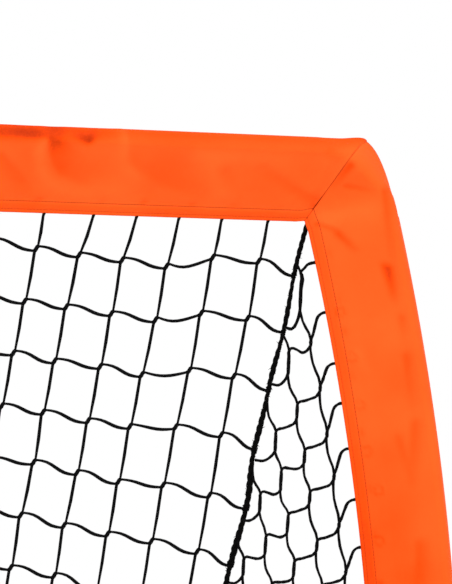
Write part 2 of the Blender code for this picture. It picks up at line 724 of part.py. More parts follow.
def housing_profile():
    """The housing seen from the side: a flat base, a round top about the hinge axis and a sloping back."""
    points = [(MOUTH_Y - CHEEK_RADIUS, BASE_Z)]
    for angle in evenly(math.pi, HOUSING_ROUND_END, 10):
        y = MOUTH_Y + CHEEK_RADIUS * math.cos(angle)
        points.append((y, HINGE_Z + CHEEK_RADIUS * math.sin(angle)))
    points.append((MOUTH_Y + HOUSING_BACK, HOUSING_SHOULDER_Z))
    points.append((MOUTH_Y + HOUSING_BACK, BASE_Z))
    return points


def make_housings(plastic, rubber):
    """The fixed half of each hinge: two cheeks over a socket for the side tube, on a rubber foot."""
    for name, side in SIDES.items():
        centre = Vector((side * HUB_X, MOUTH_Y, HINGE_Z))
        low, high = mirrored_x(side, -HOUSING_WIDTH / 2, HOUSING_WIDTH / 2)
        rings = [[Vector((x, y, z)) for y, z in housing_profile()] for x in (low, high)]
        housing = finish(f"hinge_housing_{name}", solid_from_rings(rings), plastic, centre)
        start = Vector((side * HUB_X, MOUTH_Y + HOUSING_BACK / 2, TUBE_Z))
        end = Vector((side * HUB_X, FRONT_TUBE_Y + FRONT_SOCKET_LENGTH, TUBE_Z))
        bm = straight_tube(start, end, SOCKET_OD / 2, 0)
        cut_or_join(housing, finish(f"front_socket_{name}", bm, plastic, start), "UNION")
        start = Vector((side * HUB_X, FRONT_TUBE_Y - GAP, TUBE_Z))
        bm = straight_tube(start, end + Vector((0, SOCKET_OD, 0)), TUBE_OD / 2 + SOCKET_EASE, 0)
        cut_or_join(housing, finish(f"front_bore_{name}", bm, plastic, start), "DIFFERENCE")
        half = TONGUE_THICKNESS / 2 + TONGUE_EASE
        low, high = mirrored_x(side, -half, half)
        floor = HINGE_Z - TONGUE_RADIUS - TONGUE_EASE
        front, back = MOUTH_Y - 2 * CHEEK_RADIUS, MOUTH_Y + 2 * HOUSING_BACK
        bm = box((low, front, floor), (high, back, HINGE_Z + 2 * CHEEK_RADIUS))
        cut_or_join(housing, finish(f"tongue_slot_{name}", bm, plastic, centre), "DIFFERENCE")
        ends = [centre + Vector((x, 0, 0)) for x in (-HOUSING_WIDTH, HOUSING_WIDTH)]
        bm = straight_tube(ends[0], ends[1], PIN_OD / 2 + PIN_EASE, 0, FINE_SIDES)
        cut_or_join(housing, finish(f"pin_hole_{name}", bm, plastic, centre), "DIFFERENCE")
        low, high = mirrored_x(side, FOOT_INSET - HOUSING_WIDTH / 2, HOUSING_WIDTH / 2 - FOOT_INSET)
        front, back = MOUTH_Y - CHEEK_RADIUS + FOOT_INSET, MOUTH_Y + HOUSING_BACK - FOOT_INSET
        bm = box((low, front, 0), (high, back, FOOT_THICKNESS))
        finish(f"front_foot_{name}", bm, rubber, (side * HUB_X, MOUTH_Y, 0))


def make_knuckles(material, mouth):
    """The moving half of each hinge: a tongue on the hinge axis with a collar and a spigot for the pole."""
    for name, side in SIDES.items():
        centre = Vector((side * HUB_X, MOUTH_Y, HINGE_Z))
        low, high = mirrored_x(side, -TONGUE_THICKNESS / 2, TONGUE_THICKNESS / 2)
        neck = COLLAR_START + COLLAR_LENGTH / 2
        profile = [(COLLAR_OD / 2, neck)]
        for angle in evenly(0, -math.pi, 10):
            profile.append((TONGUE_RADIUS * math.cos(angle), TONGUE_RADIUS * math.sin(angle)))
        profile.append((-COLLAR_OD / 2, neck))
        rings = [[Vector((x, MOUTH_Y + y, HINGE_Z + z)) for y, z in profile] for x in (low, high)]
        knuckle = finish(f"foot_knuckle_{name}", solid_from_rings(rings), material, centre, mouth)
        collar = HINGE_S - COLLAR_START
        shoulder = collar - COLLAR_LENGTH
        outline = [(collar, COLLAR_OD / 2), (shoulder, COLLAR_OD / 2), (shoulder, SPIGOT_OD / 2)]
        outline.append((shoulder - SPIGOT_LENGTH, SPIGOT_OD / 2))
        rings = [pole_ring(s, radius, side) for s, radius in outline]
        spigot = finish(f"foot_spigot_{name}", solid_from_rings(rings), material, centre, mouth)
        cut_or_join(knuckle, spigot, "UNION")
        ends = [centre + Vector((x, 0, 0)) for x in (-TONGUE_THICKNESS, TONGUE_THICKNESS)]
        bm = straight_tube(ends[0], ends[1], PIN_OD / 2 + PIN_EASE, 0, FINE_SIDES)
        cut_or_join(knuckle, finish(f"tongue_hole_{name}", bm, material, centre, mouth), "DIFFERENCE")


PIN_END = HOUSING_WIDTH / 2 + PIN_TIP
STEM_END = PIN_END + BUTTON_TRAVEL + GAP - BUTTON_STEM_LENGTH
BORE_END = PIN_END - PIN_BORE_DEPTH


def make_pins(steel):
    """Hollow pivot pins, each held by a push-on washer under the lock button."""
    for name, side in SIDES.items():
        centre = Vector((side * HUB_X, MOUTH_Y, HINGE_Z))
        head = -HOUSING_WIDTH / 2 - GAP
        profile = [
            (head - PIN_HEAD_LENGTH, 0),
            (head - PIN_HEAD_LENGTH, PIN_HEAD_OD / 2),
            (head, PIN_HEAD_OD / 2),
            (head, PIN_OD / 2),
            (PIN_END, PIN_OD / 2),
            (PIN_END, PIN_BORE_OD / 2),
            (BORE_END, PIN_BORE_OD / 2),
            (BORE_END, 0),
        ]
        finish(f"pivot_pin_{name}", turned(centre, side, profile), steel, centre)
        near = centre + Vector((side * (HOUSING_WIDTH / 2 + GAP), 0, 0))
        far = near + Vector((side * WASHER_THICKNESS, 0, 0))
        bm = straight_tube(near, far, WASHER_OD / 2, PIN_OD / 2 + PIN_EASE, FINE_SIDES)
        finish(f"pin_washer_{name}", bm, steel, near)


def make_buttons(plastic, steel, parents):
    """Push buttons that free the hinges, each with its return spring in the pin's bore."""
    for name, side in SIDES.items():
        centre = Vector((side * HUB_X, MOUTH_Y, HINGE_Z))
        face = PIN_END + BUTTON_TRAVEL + GAP
        top, rim = face + BUTTON_HEAD - BUTTON_ROUND, BUTTON_OD / 2 - BUTTON_ROUND
        profile = [(STEM_END, 0), (STEM_END, BUTTON_STEM_OD / 2)]
        profile += [(face, BUTTON_STEM_OD / 2), (face, BUTTON_OD / 2)]
        for angle in evenly(0, math.pi / 2, 3):
            profile.append((top + BUTTON_ROUND * math.sin(angle), rim + BUTTON_ROUND * math.cos(angle)))
        profile.append((face + BUTTON_HEAD, 0))
        finish(f"lock_button_{name}", turned(centre, side, profile), plastic, centre, parents[name])
        make_spring(f"lock_spring_{name}", centre, side, steel)


def make_spring(name, centre, side, material):
    coil = (SPRING_OD - SPRING_WIRE) / 2
    start = BORE_END + GAP + SPRING_WIRE / 2
    end = STEM_END - GAP - SPRING_WIRE / 2
    rings = []
    for i, out in enumerate(evenly(start, end, SPRING_TURNS * TURN_POINTS)):
        angle = 2 * math.pi * i / TURN_POINTS
        radial = Vector((0, math.cos(angle), math.sin(angle)))
        place = centre + Vector((side * out, 0, 0)) + coil * radial
        rings.append(circle(place, radial, Vector((1, 0, 0)), SPRING_WIRE / 2, 5))
    finish(name, solid_from_rings(rings), material, centre + Vector((side * start, 0, 0)))


def main():
    clear_scene()
    orange = new_material("orange_sleeve", (1.0, 0.12, 0.015), 0.45)
    net = new_material("black_net", (0.01, 0.01, 0.011), 0.8)
    rope = new_material("black_rope", (0.008, 0.008, 0.009), 0.85)
    webbing = new_material("black_webbing", (0.012, 0.012, 0.013), 0.7)
    frame_paint = new_material("black_steel_tube", (0.02, 0.02, 0.022), 0.4)
    moulded = new_material("black_moulding", (0.03, 0.03, 0.032), 0.5)
    rubber = new_material("black_rubber", (0.015, 0.015, 0.015), 0.85)
    steel = new_material("zinc_steel", (0.62, 0.62, 0.63), 0.3, 1.0)
    fibreglass = new_material("fibreglass", (0.75, 0.74, 0.68), 0.45)
    elastic = new_material("elastic_cord", (0.7, 0.7, 0.68), 0.8)
    button_plastic = new_material("orange_button", (0.9, 0.13, 0.02), 0.4)

    mouth = add_empty("mouth_fold_axis", (0, MOUTH_Y, HINGE_Z))
    buttons = {}
    for name, side in SIDES.items():
        buttons[name] = add_empty(f"button_axis_{name}", (side * HUB_X, MOUTH_Y, HINGE_Z))
    make_poles({"fibreglass": fibreglass, "steel": steel, "elastic": elastic}, mouth)
    make_elbows(frame_paint, mouth)
    make_crossbar_sleeve(orange, mouth)
    make_post_sleeves(orange, mouth)
    make_knuckles(moulded, mouth)
    make_back_net(net)
    make_side_nets(net)
    make_edge_ropes(rope)
    make_base_tubes(frame_paint)
    make_rear_ferrule(steel)
    make_rear_corners(moulded, rubber)
    make_straps(webbing)
    make_housings(moulded, rubber)
    make_pins(steel)
    make_buttons(button_plastic, steel, buttons)


main()
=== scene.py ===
# %% [markdown]
# # A folding soccer goal, dressed in Blender
# The goal has three kinds of parts: a mouth of sprung poles inside sewn orange sleeves, a black net with a
# rope along its two rear edges, and a steel base with moulded hinges and elbows. The solids of the goal are
# loaded first and never changed. Each cell below makes one finish or one kind of piece and lays it over
# those solids.

# %% The solids of the goal
import math

import bpy
import numpy as np
from mathutils import Matrix, Vector


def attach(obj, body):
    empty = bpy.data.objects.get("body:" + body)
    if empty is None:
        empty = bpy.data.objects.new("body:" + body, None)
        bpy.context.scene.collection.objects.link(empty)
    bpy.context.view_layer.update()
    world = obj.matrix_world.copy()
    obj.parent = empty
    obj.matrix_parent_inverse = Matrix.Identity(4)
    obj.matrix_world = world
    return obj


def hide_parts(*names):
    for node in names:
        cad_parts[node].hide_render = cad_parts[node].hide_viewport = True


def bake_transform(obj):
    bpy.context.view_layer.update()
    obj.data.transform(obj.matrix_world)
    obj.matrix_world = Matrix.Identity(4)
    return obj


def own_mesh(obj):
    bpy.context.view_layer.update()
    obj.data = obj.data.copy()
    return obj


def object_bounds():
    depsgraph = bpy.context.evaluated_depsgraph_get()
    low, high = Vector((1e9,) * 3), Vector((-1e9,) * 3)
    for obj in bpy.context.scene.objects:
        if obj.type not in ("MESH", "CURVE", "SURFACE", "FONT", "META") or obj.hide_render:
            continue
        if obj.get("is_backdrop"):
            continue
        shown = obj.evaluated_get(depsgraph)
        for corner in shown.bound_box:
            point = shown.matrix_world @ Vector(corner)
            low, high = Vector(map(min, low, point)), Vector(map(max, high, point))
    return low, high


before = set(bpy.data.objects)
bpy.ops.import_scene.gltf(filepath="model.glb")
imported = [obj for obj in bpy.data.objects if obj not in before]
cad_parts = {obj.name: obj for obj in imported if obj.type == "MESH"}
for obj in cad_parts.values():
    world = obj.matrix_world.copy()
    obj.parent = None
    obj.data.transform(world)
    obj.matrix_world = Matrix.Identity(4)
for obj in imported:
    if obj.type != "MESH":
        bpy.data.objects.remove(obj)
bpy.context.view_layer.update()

# %% [markdown]
# ## Main sizes
# The sleeves, the nets and the ropes follow the same lines as the solids under them, so those lines are
# written down once here: the straight crossbar, the bent corner, the bow of the posts, and the slope of the
# back net.

# %% The goal's lines
HEIGHT = 1.22
MOUTH_Y = -0.287
REAR_Y = 0.290
TUBE_Z = 0.0185
HINGE_Z = 0.070
HUB_X = 0.8331658
SLEEVE_RADIUS = 0.0096  # of the cloth round the pole
FOLD = 0.0101  # from the middle of the pole to the folded edge of the band
BAND = 0.083  # width of the band, from its fold to its hem
BAR_Z = HEIGHT - SLEEVE_RADIUS
BOW_RADIUS = 2.13
BOW_CENTRE = Vector((-1.2246, MOUTH_Y, 0.62))
ELBOW_RADIUS = 0.08
ELBOW_Z = BAR_Z - ELBOW_RADIUS
ELBOW_X = BOW_CENTRE.x + math.sqrt((BOW_RADIUS - ELBOW_RADIUS) ** 2 - (ELBOW_Z - BOW_CENTRE.z) ** 2)
ELBOW_END = math.atan2(ELBOW_Z - BOW_CENTRE.z, ELBOW_X - BOW_CENTRE.x)
BAR_TILT = math.radians(28)  # the net draws the crossbar's band back by this angle
POST_TURN = math.radians(25)  # and the bands of the posts by this one
TIP = Vector((0.8147, MOUTH_Y, HEIGHT))  # outer corner of the mouth
HEM_CORNER = Vector((0.770394, -0.252776, 1.146033))
MITRE_LEAN = (TIP.x - HEM_CORNER.x) / (HEIGHT - HEM_CORNER.z)  # the corner seam moves in as it drops
NET_FOOT = Vector((0, 0.278593, 0.042197))
ROPE_FOOT = Vector((0.802090, NET_FOOT.y, NET_FOOT.z))
SIDE_FOOT = Vector((0.809090, 0, 0.0324))
SLOPE = (NET_FOOT - Vector((0, HEM_CORNER.y, HEM_CORNER.z)))
SLOPE_LENGTH = SLOPE.length
SLOPE.normalize()
SIDES = {"left": -1, "right": 1}
print("the back net is", round(SLOPE_LENGTH, 3), "m from the crossbar's hem to its foot")

# %% [markdown]
# ## Camera
# The view is a close one of the top right corner, from in front and to the left, a little below the
# crossbar. A long lens far away keeps the edges of the bands nearly parallel. The camera is aimed by its
# own turn, without shift.

# %% Camera
HEADING = math.radians(30.2)
FORWARD = Vector((math.sin(HEADING), math.cos(HEADING), 0))
ACROSS = Vector((math.cos(HEADING), -math.sin(HEADING), 0))
UP = Vector((0, 0, 1))
DISTANCE = 5.0
EYE_DROP = 0.36  # how far below the goal's corner the eye is
CORNER_LEFT_OF_AXIS = -0.108  # metres across the view, at the corner's distance
CORNER_SEEN = Vector((0.811, -0.292, 1.22))
AIM_LEFT, AIM_UP = 0.0034, 0.0443  # how far the aim moves for each metre ahead
eye = CORNER_SEEN - DISTANCE * FORWARD + CORNER_LEFT_OF_AXIS * ACROSS - EYE_DROP * UP
aim = FORWARD - AIM_LEFT * ACROSS + AIM_UP * UP

lens = bpy.data.cameras.new("camera")
lens.sensor_width = 36
lens.lens = 342.5
lens.clip_start = 0.1
lens.clip_end = 60
camera = bpy.data.objects.new("camera", lens)
bpy.context.scene.collection.objects.link(camera)
camera.location = eye
camera.rotation_euler = aim.to_track_quat("-Z", "Y").to_euler()
bpy.context.scene.camera = camera
print("camera at", [round(x, 3) for x in eye])

# %% [markdown]
# ## Light, floor and backdrop
# The goal stands on a small pale floor. The world is white to the camera and to reflections, and weaker as
# a light, so that white doesn't wash over the cloth. A large soft lamp in front gives the satin its sheen,
# and a second one fills the other side. Colours then show about as they are written.

# %% Light and floor
scene = bpy.context.scene
scene.view_settings.view_transform = "Standard"

world = bpy.data.worlds.new("studio")
scene.world = world
world.use_nodes = True
world.node_tree.nodes.clear()


def add_lamp(name, place, target, size, power):
    """A round soft lamp, its size in metres and its power in watts."""
    lamp = bpy.data.lights.new(name, "AREA")
    lamp.shape = "DISK"
    lamp.size = size
    lamp.energy = power
    holder = bpy.data.objects.new(name, lamp)
    scene.collection.objects.link(holder)
    holder.location = place
    holder.rotation_euler = (Vector(target) - Vector(place)).to_track_quat("-Z", "Y").to_euler()


add_lamp("key", (-2.6, -4.2, 3.6), (0.3, -0.2, 0.8), 2.4, 175)
add_lamp("fill", (3.4, -3.0, 2.4), (0.2, 0.0, 0.6), 2.6, 62)
add_lamp("rim", (0.6, 4.2, 3.4), (0.0, 0.0, 0.6), 2.6, 60)

FLOOR_RADIUS = 1.9
bpy.ops.mesh.primitive_circle_add(vertices=96, radius=FLOOR_RADIUS, fill_type="NGON", location=(0, 0.05, 0))
floor = bpy.context.object
floor.name = "floor"
floor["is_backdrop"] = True
print("three lamps and a floor of", round(floor.dimensions.x, 2), "m")

# %% [markdown]
# ## Writing materials as sums
# A material is a tree of small steps. Here one class holds an output of such a step, so that a formula in
# Python, such as `1 - mask * 0.4`, makes the nodes for it. Every other node comes from its one method
# `node`.


# %% Shader sums
class Shade:
    """One output in a material's tree. Sums of it add the nodes that they need."""

    def __init__(self, tree, socket=None):
        self.tree = tree
        self.socket = socket

    def node(self, kind, settings=(), output=0, **values):
        made = self.tree.nodes.new("ShaderNode" + kind)
        for name, value in dict(settings).items():
            if name == "stops":
                self.set_stops(made.color_ramp, value)
            else:
                setattr(made, name, value)
        for name, value in values.items():
            numbered = name[0] == "i" and name[1:].isdigit()
            target = made.inputs[int(name[1:]) if numbered else name.replace("_", " ")]
            if isinstance(value, Shade):
                self.tree.links.new(value.socket, target)
            else:
                target.default_value = value
        return Shade(self.tree, made.outputs[output])

    @staticmethod
    def set_stops(ramp, stops):
        while len(ramp.elements) < len(stops):
            ramp.elements.new(0.5)
        for element, (place, colour) in zip(ramp.elements, stops):
            element.position = place
            element.color = (*colour, 1)

    def math(self, operation, *terms):
        values = {f"i{i}": term for i, term in enumerate(terms)}
        return self.node("Math", {"operation": operation}, **values)

    def __add__(self, other):
        return self.math("ADD", self, other)

    __radd__ = __add__

    def __sub__(self, other):
        return self.math("SUBTRACT", self, other)

    def __rsub__(self, other):
        return self.math("SUBTRACT", other, self)

    def __mul__(self, other):
        return self.math("MULTIPLY", self, other)

    __rmul__ = __mul__

    def __truediv__(self, other):
        return self.math("DIVIDE", self, other)

    def sine(self):
        return self.math("SINE", self)

    def size(self):
        return self.math("ABSOLUTE", self)

    def between(self, low, high):
        """0 below low, 1 above high, and a smooth rise from one to the other."""
        return self.node(
            "MapRange", {"interpolation_type": "SMOOTHSTEP"}, Value=self, From_Min=low, From_Max=high
        )

    def near(self, place, reach):
        """1 at a place, falling to 0 at a reach from it."""
        return 1 - (self - place).size().between(0, reach)

    def mix(self, first, second):
        """Colour first where this is 0, second where it is 1."""
        settings = {"data_type": "RGBA"}
        return self.node("Mix", settings, output=2, i0=self, i6=colour_of(first), i7=colour_of(second))

    def noise(self, scale, detail, place):
        return self.node("TexNoise", Scale=scale, Detail=detail, Vector=place)

    def own_place(self):
        """Where a point is on its object, in metres."""
        return self.node("TexCoord", output="Object")

    def map_ways(self, name):
        """The two ways of a UV map: across or round the piece, and along it."""
        first = self.node("SeparateXYZ", Vector=self.node("UVMap", {"uv_map": name}))
        return first, Shade(self.tree, first.socket.node.outputs["Y"])


def colour_of(value):
    return value if isinstance(value, Shade) else (*value, 1)


def new_finish(name, roughness, metallic=0.0, **steady):
    """A new material. Returns it with its surface shader and an empty Shade to write sums with."""
    made = bpy.data.materials.new(name)
    made.use_nodes = True
    shader = made.node_tree.nodes["Principled BSDF"]
    shader.inputs["Roughness"].default_value = roughness
    shader.inputs["Metallic"].default_value = metallic
    for socket, value in steady.items():
        shader.inputs[socket.replace("_", " ")].default_value = value
    return made, shader, Shade(made.node_tree)


def paint(shader, shade, **links):
    for socket, value in links.items():
        shade.tree.links.new(value.socket, shader.inputs[socket.replace("_", " ")])


def bump(shade, height, distance, strength=1.0, under=None):
    values = {"Height": height, "Distance": distance, "Strength": strength}
    if under is not None:
        values["Normal"] = under
    return shade.node("Bump", **values)


print("shader sums are ready")

# %% [markdown]
# ## World and floor finishes
# The world looks at what kind of ray meets it. Camera, mirror and glass rays see white. Light that falls on
# the cloth comes from the same world at a lower strength.

# %% World and floor
sky = Shade(world.node_tree)
ray = world.node_tree.nodes.new("ShaderNodeLightPath")
seen = Shade(sky.tree, ray.outputs["Is Camera Ray"])
in_mirror = Shade(sky.tree, ray.outputs["Is Glossy Ray"])
through = Shade(sky.tree, ray.outputs["Is Transmission Ray"])
shown = seen.math("MAXIMUM", seen.math("MAXIMUM", seen, in_mirror), through)
AMBIENT = 0.68
background = sky.node("Background", Color=(1, 1, 1, 1), Strength=AMBIENT + shown * (1 - AMBIENT))
world_out = world.node_tree.nodes.new("ShaderNodeOutputWorld")
world.node_tree.links.new(background.socket, world_out.inputs["Surface"])

floor_finish, floor_shader, shade = new_finish("pale_floor", 0.9)
floor_shader.inputs["Base Color"].default_value = (0.86, 0.86, 0.86, 1)
floor.data.materials.append(floor_finish)
print("world and floor are white")

# %% [markdown]
# ## Orange sleeve cloth
# The sleeves are a coated polyester of fine plain weave, with a soft satin sheen. Their colour is painted
# with shade: the folds that face away from the light are a darker orange, and the flat parts a lighter one.
# The weave is far finer than a pixel of the photo, so it is only a faint bump that runs with the cloth's own
# UV map, which is in metres. Two vertex attributes carry what the cell that shapes the cloth knows: `tone`
# holds painted shade and highlight, darker in the folds and lighter on ridges, with the faint rings of the
# net's loops, and `seam` the dark line of the corner seam.

# %% Orange cloth
HEM_STITCH = 0.0722  # from the fold to the main row of stitches
EDGE_STITCH = 0.0800
STITCH_REACH = 0.0007  # from the middle of a row of stitches to its edge
STITCH_LENGTH = 0.0032
THREAD = 0.0004  # from one thread of the weave to the next
UNEVEN = 0.12  # how much soft clouds and fine specks change the tone
DEEP_TONE = 0.24  # the tone at which the painted shade is deep orange
FOLD_SHADOW_ORANGE = (0.50, 0.030, 0.001)  # painted shade at the bottom of the sharpest folds
# the painted shade of the folds, then the lit cloth, which above the plain tone is painted highlight
DEEP_ORANGE = (0.98, 0.070, 0.002)
LIGHT_ORANGE = (1.0, 0.140, 0.020)
SEAM_ORANGE = (0.42, 0.02, 0.001)

orange_cloth, shader, shade = new_finish("orange_cloth", 0.5, Specular_IOR_Level=0.05)
across_band, along_band = shade.map_ways("band")
tone = shade.node("Attribute", {"attribute_name": "tone"}, output=2)
seam = shade.node("Attribute", {"attribute_name": "seam"}, output=2)
place = shade.own_place()
cloud = shade.noise(14.0, 3.0, place).between(0.35, 0.65)
speckle = shade.noise(520.0, 2.0, place)
ripple = shade.noise(90.0, 2.0, place)
thread_turn = 2 * math.pi / THREAD
weave = (across_band * thread_turn).sine() * (along_band * thread_turn).sine()
dash = ((along_band * (2 * math.pi / STITCH_LENGTH)).sine()).between(-0.6, 0.2)
from_fold = across_band.size()
main_row = from_fold.near(HEM_STITCH, STITCH_REACH)
edge_row = from_fold.near(EDGE_STITCH, STITCH_REACH)
# a row of stitches is darker: the thread's own darker orange on each dash, and painted shade in the row's
# groove between them
stitches = (main_row + edge_row * 0.6) * (0.55 + dash * 0.45)
# painted shade and highlight from the shaped cloth, with random clouds and specks
lightness = tone + (cloud - 0.5) * UNEVEN + (speckle - 0.5) * UNEVEN
stops = ((0.0, FOLD_SHADOW_ORANGE), (DEEP_TONE, DEEP_ORANGE), (1.0, LIGHT_ORANGE))
cloth_colour = shade.node("ValToRGB", {"stops": stops}, Fac=lightness)
cloth_colour = (stitches * 0.85).mix(cloth_colour, SEAM_ORANGE)
cloth_colour = (seam * 0.5).mix(cloth_colour, SEAM_ORANGE)
relief = weave * 0.06 - main_row * 0.9 - edge_row * 0.5 + dash * main_row * 0.35
cloth_normal = bump(shade, ripple, 0.0006, 0.6)
cloth_normal = bump(shade, relief, 0.0004, 1.0, cloth_normal)
paint(shader, shade, Base_Color=cloth_colour, Normal=cloth_normal, Roughness=0.46 + cloud * 0.08)
print("orange cloth has", len(orange_cloth.node_tree.nodes), "nodes")

# %% [markdown]
# ## Shape of a sleeve
# A sleeve is one band of cloth folded round the pole and sewn along its hem. Its cross-section leaves the
# fold, goes round the pole, runs straight down to the stitches and ends in two flat layers. The same
# section serves the crossbar and the posts. In the corner the pole turns inside the cloth, so there the
# circle moves away from the fold.


# %% Cross-section of a sleeve
FLAP_HALF = 0.001  # half the thickness of the two layers
LAYERS_MEET = HEM_STITCH - 0.0012
HEM_THINNER = 0.7  # the layers come closer by this much at the hem's edge
HEM_ROUND = 0.0003  # how far the edge bulges out between the layers
FOLD_STEPS = 5
ROUND_STEPS = 13
TAPER_STEPS = 26
FLAP_STEPS = 8


def band_section(pole, loose=0.0, corner=(0.0, 0.0)):
    """Points round the section as (across, through) pairs, from the fold to the hem and back."""
    radius = SLEEVE_RADIUS + loose
    to_fold = math.atan2(corner[1] - pole[1], corner[0] - pole[0]) % (2 * math.pi)
    reach = math.hypot(corner[0] - pole[0], corner[1] - pole[1])
    fold_turn = math.acos(min(1, radius / reach))
    halves = []
    for sign in (1, -1):
        end = (LAYERS_MEET, sign * FLAP_HALF)
        away = (end[0] - pole[0], end[1] - pole[1])
        end_turn = math.acos(radius / math.hypot(*away))
        to_end = math.atan2(away[1], away[0])
        first = to_fold - sign * fold_turn
        last = to_end + sign * end_turn + (0 if sign > 0 else 2 * math.pi)
        angles = [first + (last - first) * i / ROUND_STEPS for i in range(ROUND_STEPS + 1)]
        ring = [(pole[0] + radius * math.cos(a), pole[1] + radius * math.sin(a)) for a in angles]
        slant = line_points(corner, ring[0], FOLD_STEPS)[:-1]
        taper = line_points(ring[-1], end, TAPER_STEPS)[:-1]
        hem = line_points(end, (BAND, sign * FLAP_HALF * HEM_THINNER), FLAP_STEPS)
        halves.append([*slant, *ring, *taper, *hem])
    edge = (BAND + HEM_ROUND, 0.0)
    return np.array([corner, *halves[0], edge, *reversed(halves[1])])


def line_points(start, end, steps):
    """Points on a straight line after its start, the end included."""
    return [
        (start[0] + (end[0] - start[0]) * i / steps, start[1] + (end[1] - start[1]) * i / steps)
        for i in range(1, steps + 1)
    ]


PLAIN_SECTION = band_section((FOLD, 0.0))
print("a sleeve's section has", len(PLAIN_SECTION), "points")

# %% [markdown]
# ## Soft sums
# Folds, stitches and lumps fade out softly round a place, and what grows along the goal starts and ends
# gently. One sum for each serves them all.


# %% Bell and ease
def bell(away, reach):
    """1 at a place, a third at a reach from it, and soon nothing."""
    return np.exp(-((away / reach) ** 2))


def ease(share):
    """A share from 0 to 1 that leaves and arrives gently."""
    return share * share * (3 - 2 * share)


print("a bell is", round(float(bell(1, 1)), 2), "high at its reach, and ease turns 0.25 into", ease(0.25))

# %% [markdown]
# ## Where the bands run
# Each ring of the sleeve is the section set across the pole. Near the corner the rings slant until the last
# one lies on the mitre seam. Crossbar and post end on one shared curve, so the seam closes.

# %% Rings of the bands
DOWN = Vector((0, math.sin(BAR_TILT), -math.cos(BAR_TILT)))
THROUGH = Vector((0, math.cos(BAR_TILT), math.sin(BAR_TILT)))
BACK = Vector((0, 1, 0))
BAR_FOLD = Vector((0, MOUTH_Y, BAR_Z)) - FOLD * DOWN
PLAIN_END = ELBOW_X - 0.01  # where the crossbar's rings start to slant
CORNER_EASE = 0.0032  # the cloth is looser round the bent corner
CORNER_CUT = 0.018
CORNER_CUT_DECAY = 0.03
BAR_CUT = 0.0036
BAR_CUT_DECAY = 0.0028
TAKE_UP = 0.6  # how far the seam moves in for each metre that the pole lifts the cloth
ELBOW_SAMPLES = 240  # places along the bent corner, among which each ring finds its own


def mitre_x(z, lifted=0.0):
    return TIP.x - (HEIGHT - z) * MITRE_LEAN - TAKE_UP * abs(lifted)


def elbow(angle):
    right, up = ELBOW_RADIUS * math.cos(angle), ELBOW_RADIUS * math.sin(angle)
    return Vector((ELBOW_X + right, MOUTH_Y, ELBOW_Z + up))


def bow(angle):
    """The post's centre, the way to its hem and the way through its band, at an angle of the bow."""
    out = Vector((math.cos(angle), 0, math.sin(angle)))
    to_hem = -math.cos(POST_TURN) * out + math.sin(POST_TURN) * BACK
    through_band = math.sin(POST_TURN) * out + math.cos(POST_TURN) * BACK
    return BOW_CENTRE + BOW_RADIUS * out, to_hem, through_band


def bar_ring(share):
    """A ring of the crossbar's sleeve, from the last straight one at 0 to the mitre at 1."""
    angles = np.linspace(math.pi / 2, ELBOW_END, ELBOW_SAMPLES)
    places = [elbow(a) for a in angles]
    shares = [(p.x - PLAIN_END) / (mitre_x(p.z) - PLAIN_END) for p in places]
    centre = elbow(float(np.interp(share, shares, angles)))
    pole = ((centre - BAR_FOLD).dot(DOWN), (centre - BAR_FOLD).dot(THROUGH))
    cut = BAR_CUT * math.exp(-(1 - share) * (TIP.x - PLAIN_END) / BAR_CUT_DECAY)
    section = band_section(pole, share**4 * CORNER_EASE, (cut, 0.0))
    ring = []
    for u, v in section.tolist():
        point = BAR_FOLD + u * DOWN + v * THROUGH
        x = PLAIN_END + share * (mitre_x(point.z, v) - PLAIN_END)
        ring.append((x, point.y, point.z))
    return np.array(ring), section


TOP_CENTRE, TOP_HEM, TOP_THROUGH = bow(ELBOW_END)
TOP_FOLD = TOP_CENTRE - FOLD * TOP_HEM
TOP_UP = Vector((-math.sin(ELBOW_END), 0, math.cos(ELBOW_END)))


def reach_to_mitre(point, lifted=0.0):
    return (mitre_x(point.z, lifted) - point.x) / (TOP_UP.x - MITRE_LEAN * TOP_UP.z)


def post_corner_ring(share):
    """A ring of the post's sleeve, from the top of the bow at 0 to the mitre at 1."""
    angles = np.linspace(ELBOW_END, math.pi / 2, ELBOW_SAMPLES)
    shares = []
    for angle in angles:
        place = elbow(angle)
        along = (place - TOP_FOLD).dot(TOP_UP)
        shares.append(along / reach_to_mitre(place - along * TOP_UP))
    place = elbow(float(np.interp(share, shares, angles)))
    pole = ((place - TOP_FOLD).dot(TOP_HEM), (place - TOP_FOLD).dot(TOP_THROUGH))
    cut = CORNER_CUT * math.exp(-(1 - share) * reach_to_mitre(TOP_FOLD) / CORNER_CUT_DECAY)
    corner = (cut * math.cos(POST_TURN), -cut * math.sin(POST_TURN))
    section = band_section(pole, share * CORNER_EASE, corner)
    ring, drops = [], []
    for u, v in section.tolist():
        point = TOP_FOLD + u * TOP_HEM + v * TOP_THROUGH
        drop = share * reach_to_mitre(point, v)
        ring.append(tuple(point + drop * TOP_UP))
        drops.append(-drop)
    return np.array(ring), section, np.array(drops)


bar_end = bar_ring(1.0)[0]
post_end = post_corner_ring(1.0)[0]
SEAM_RING = (bar_end + post_end) / 2
SEAM_TIP = np.array((0.8150, -0.2910, 1.2168))  # where the seam's outer end is drawn to
TIP_REACH = 0.008
SEAM_DEPTH = 0.0003


def drawn_to_seam(ring, end_ring, section, share, start, length):
    """A ring moved towards the shared seam from a start on its way, its fold towards the seam's tip."""
    pull = ease(max(0.0, (share - start) / (1 - start)))
    ring = ring + pull * (SEAM_RING - end_ring)
    at_fold = bell(section[:, 0], TIP_REACH) * math.exp(-(1 - share) * length / TIP_REACH)
    return ring + at_fold[:, None] * (SEAM_TIP - SEAM_RING[0])


print("the two bands meet within", round(float(np.abs(bar_end - post_end).max()) * 1000, 1), "mm")

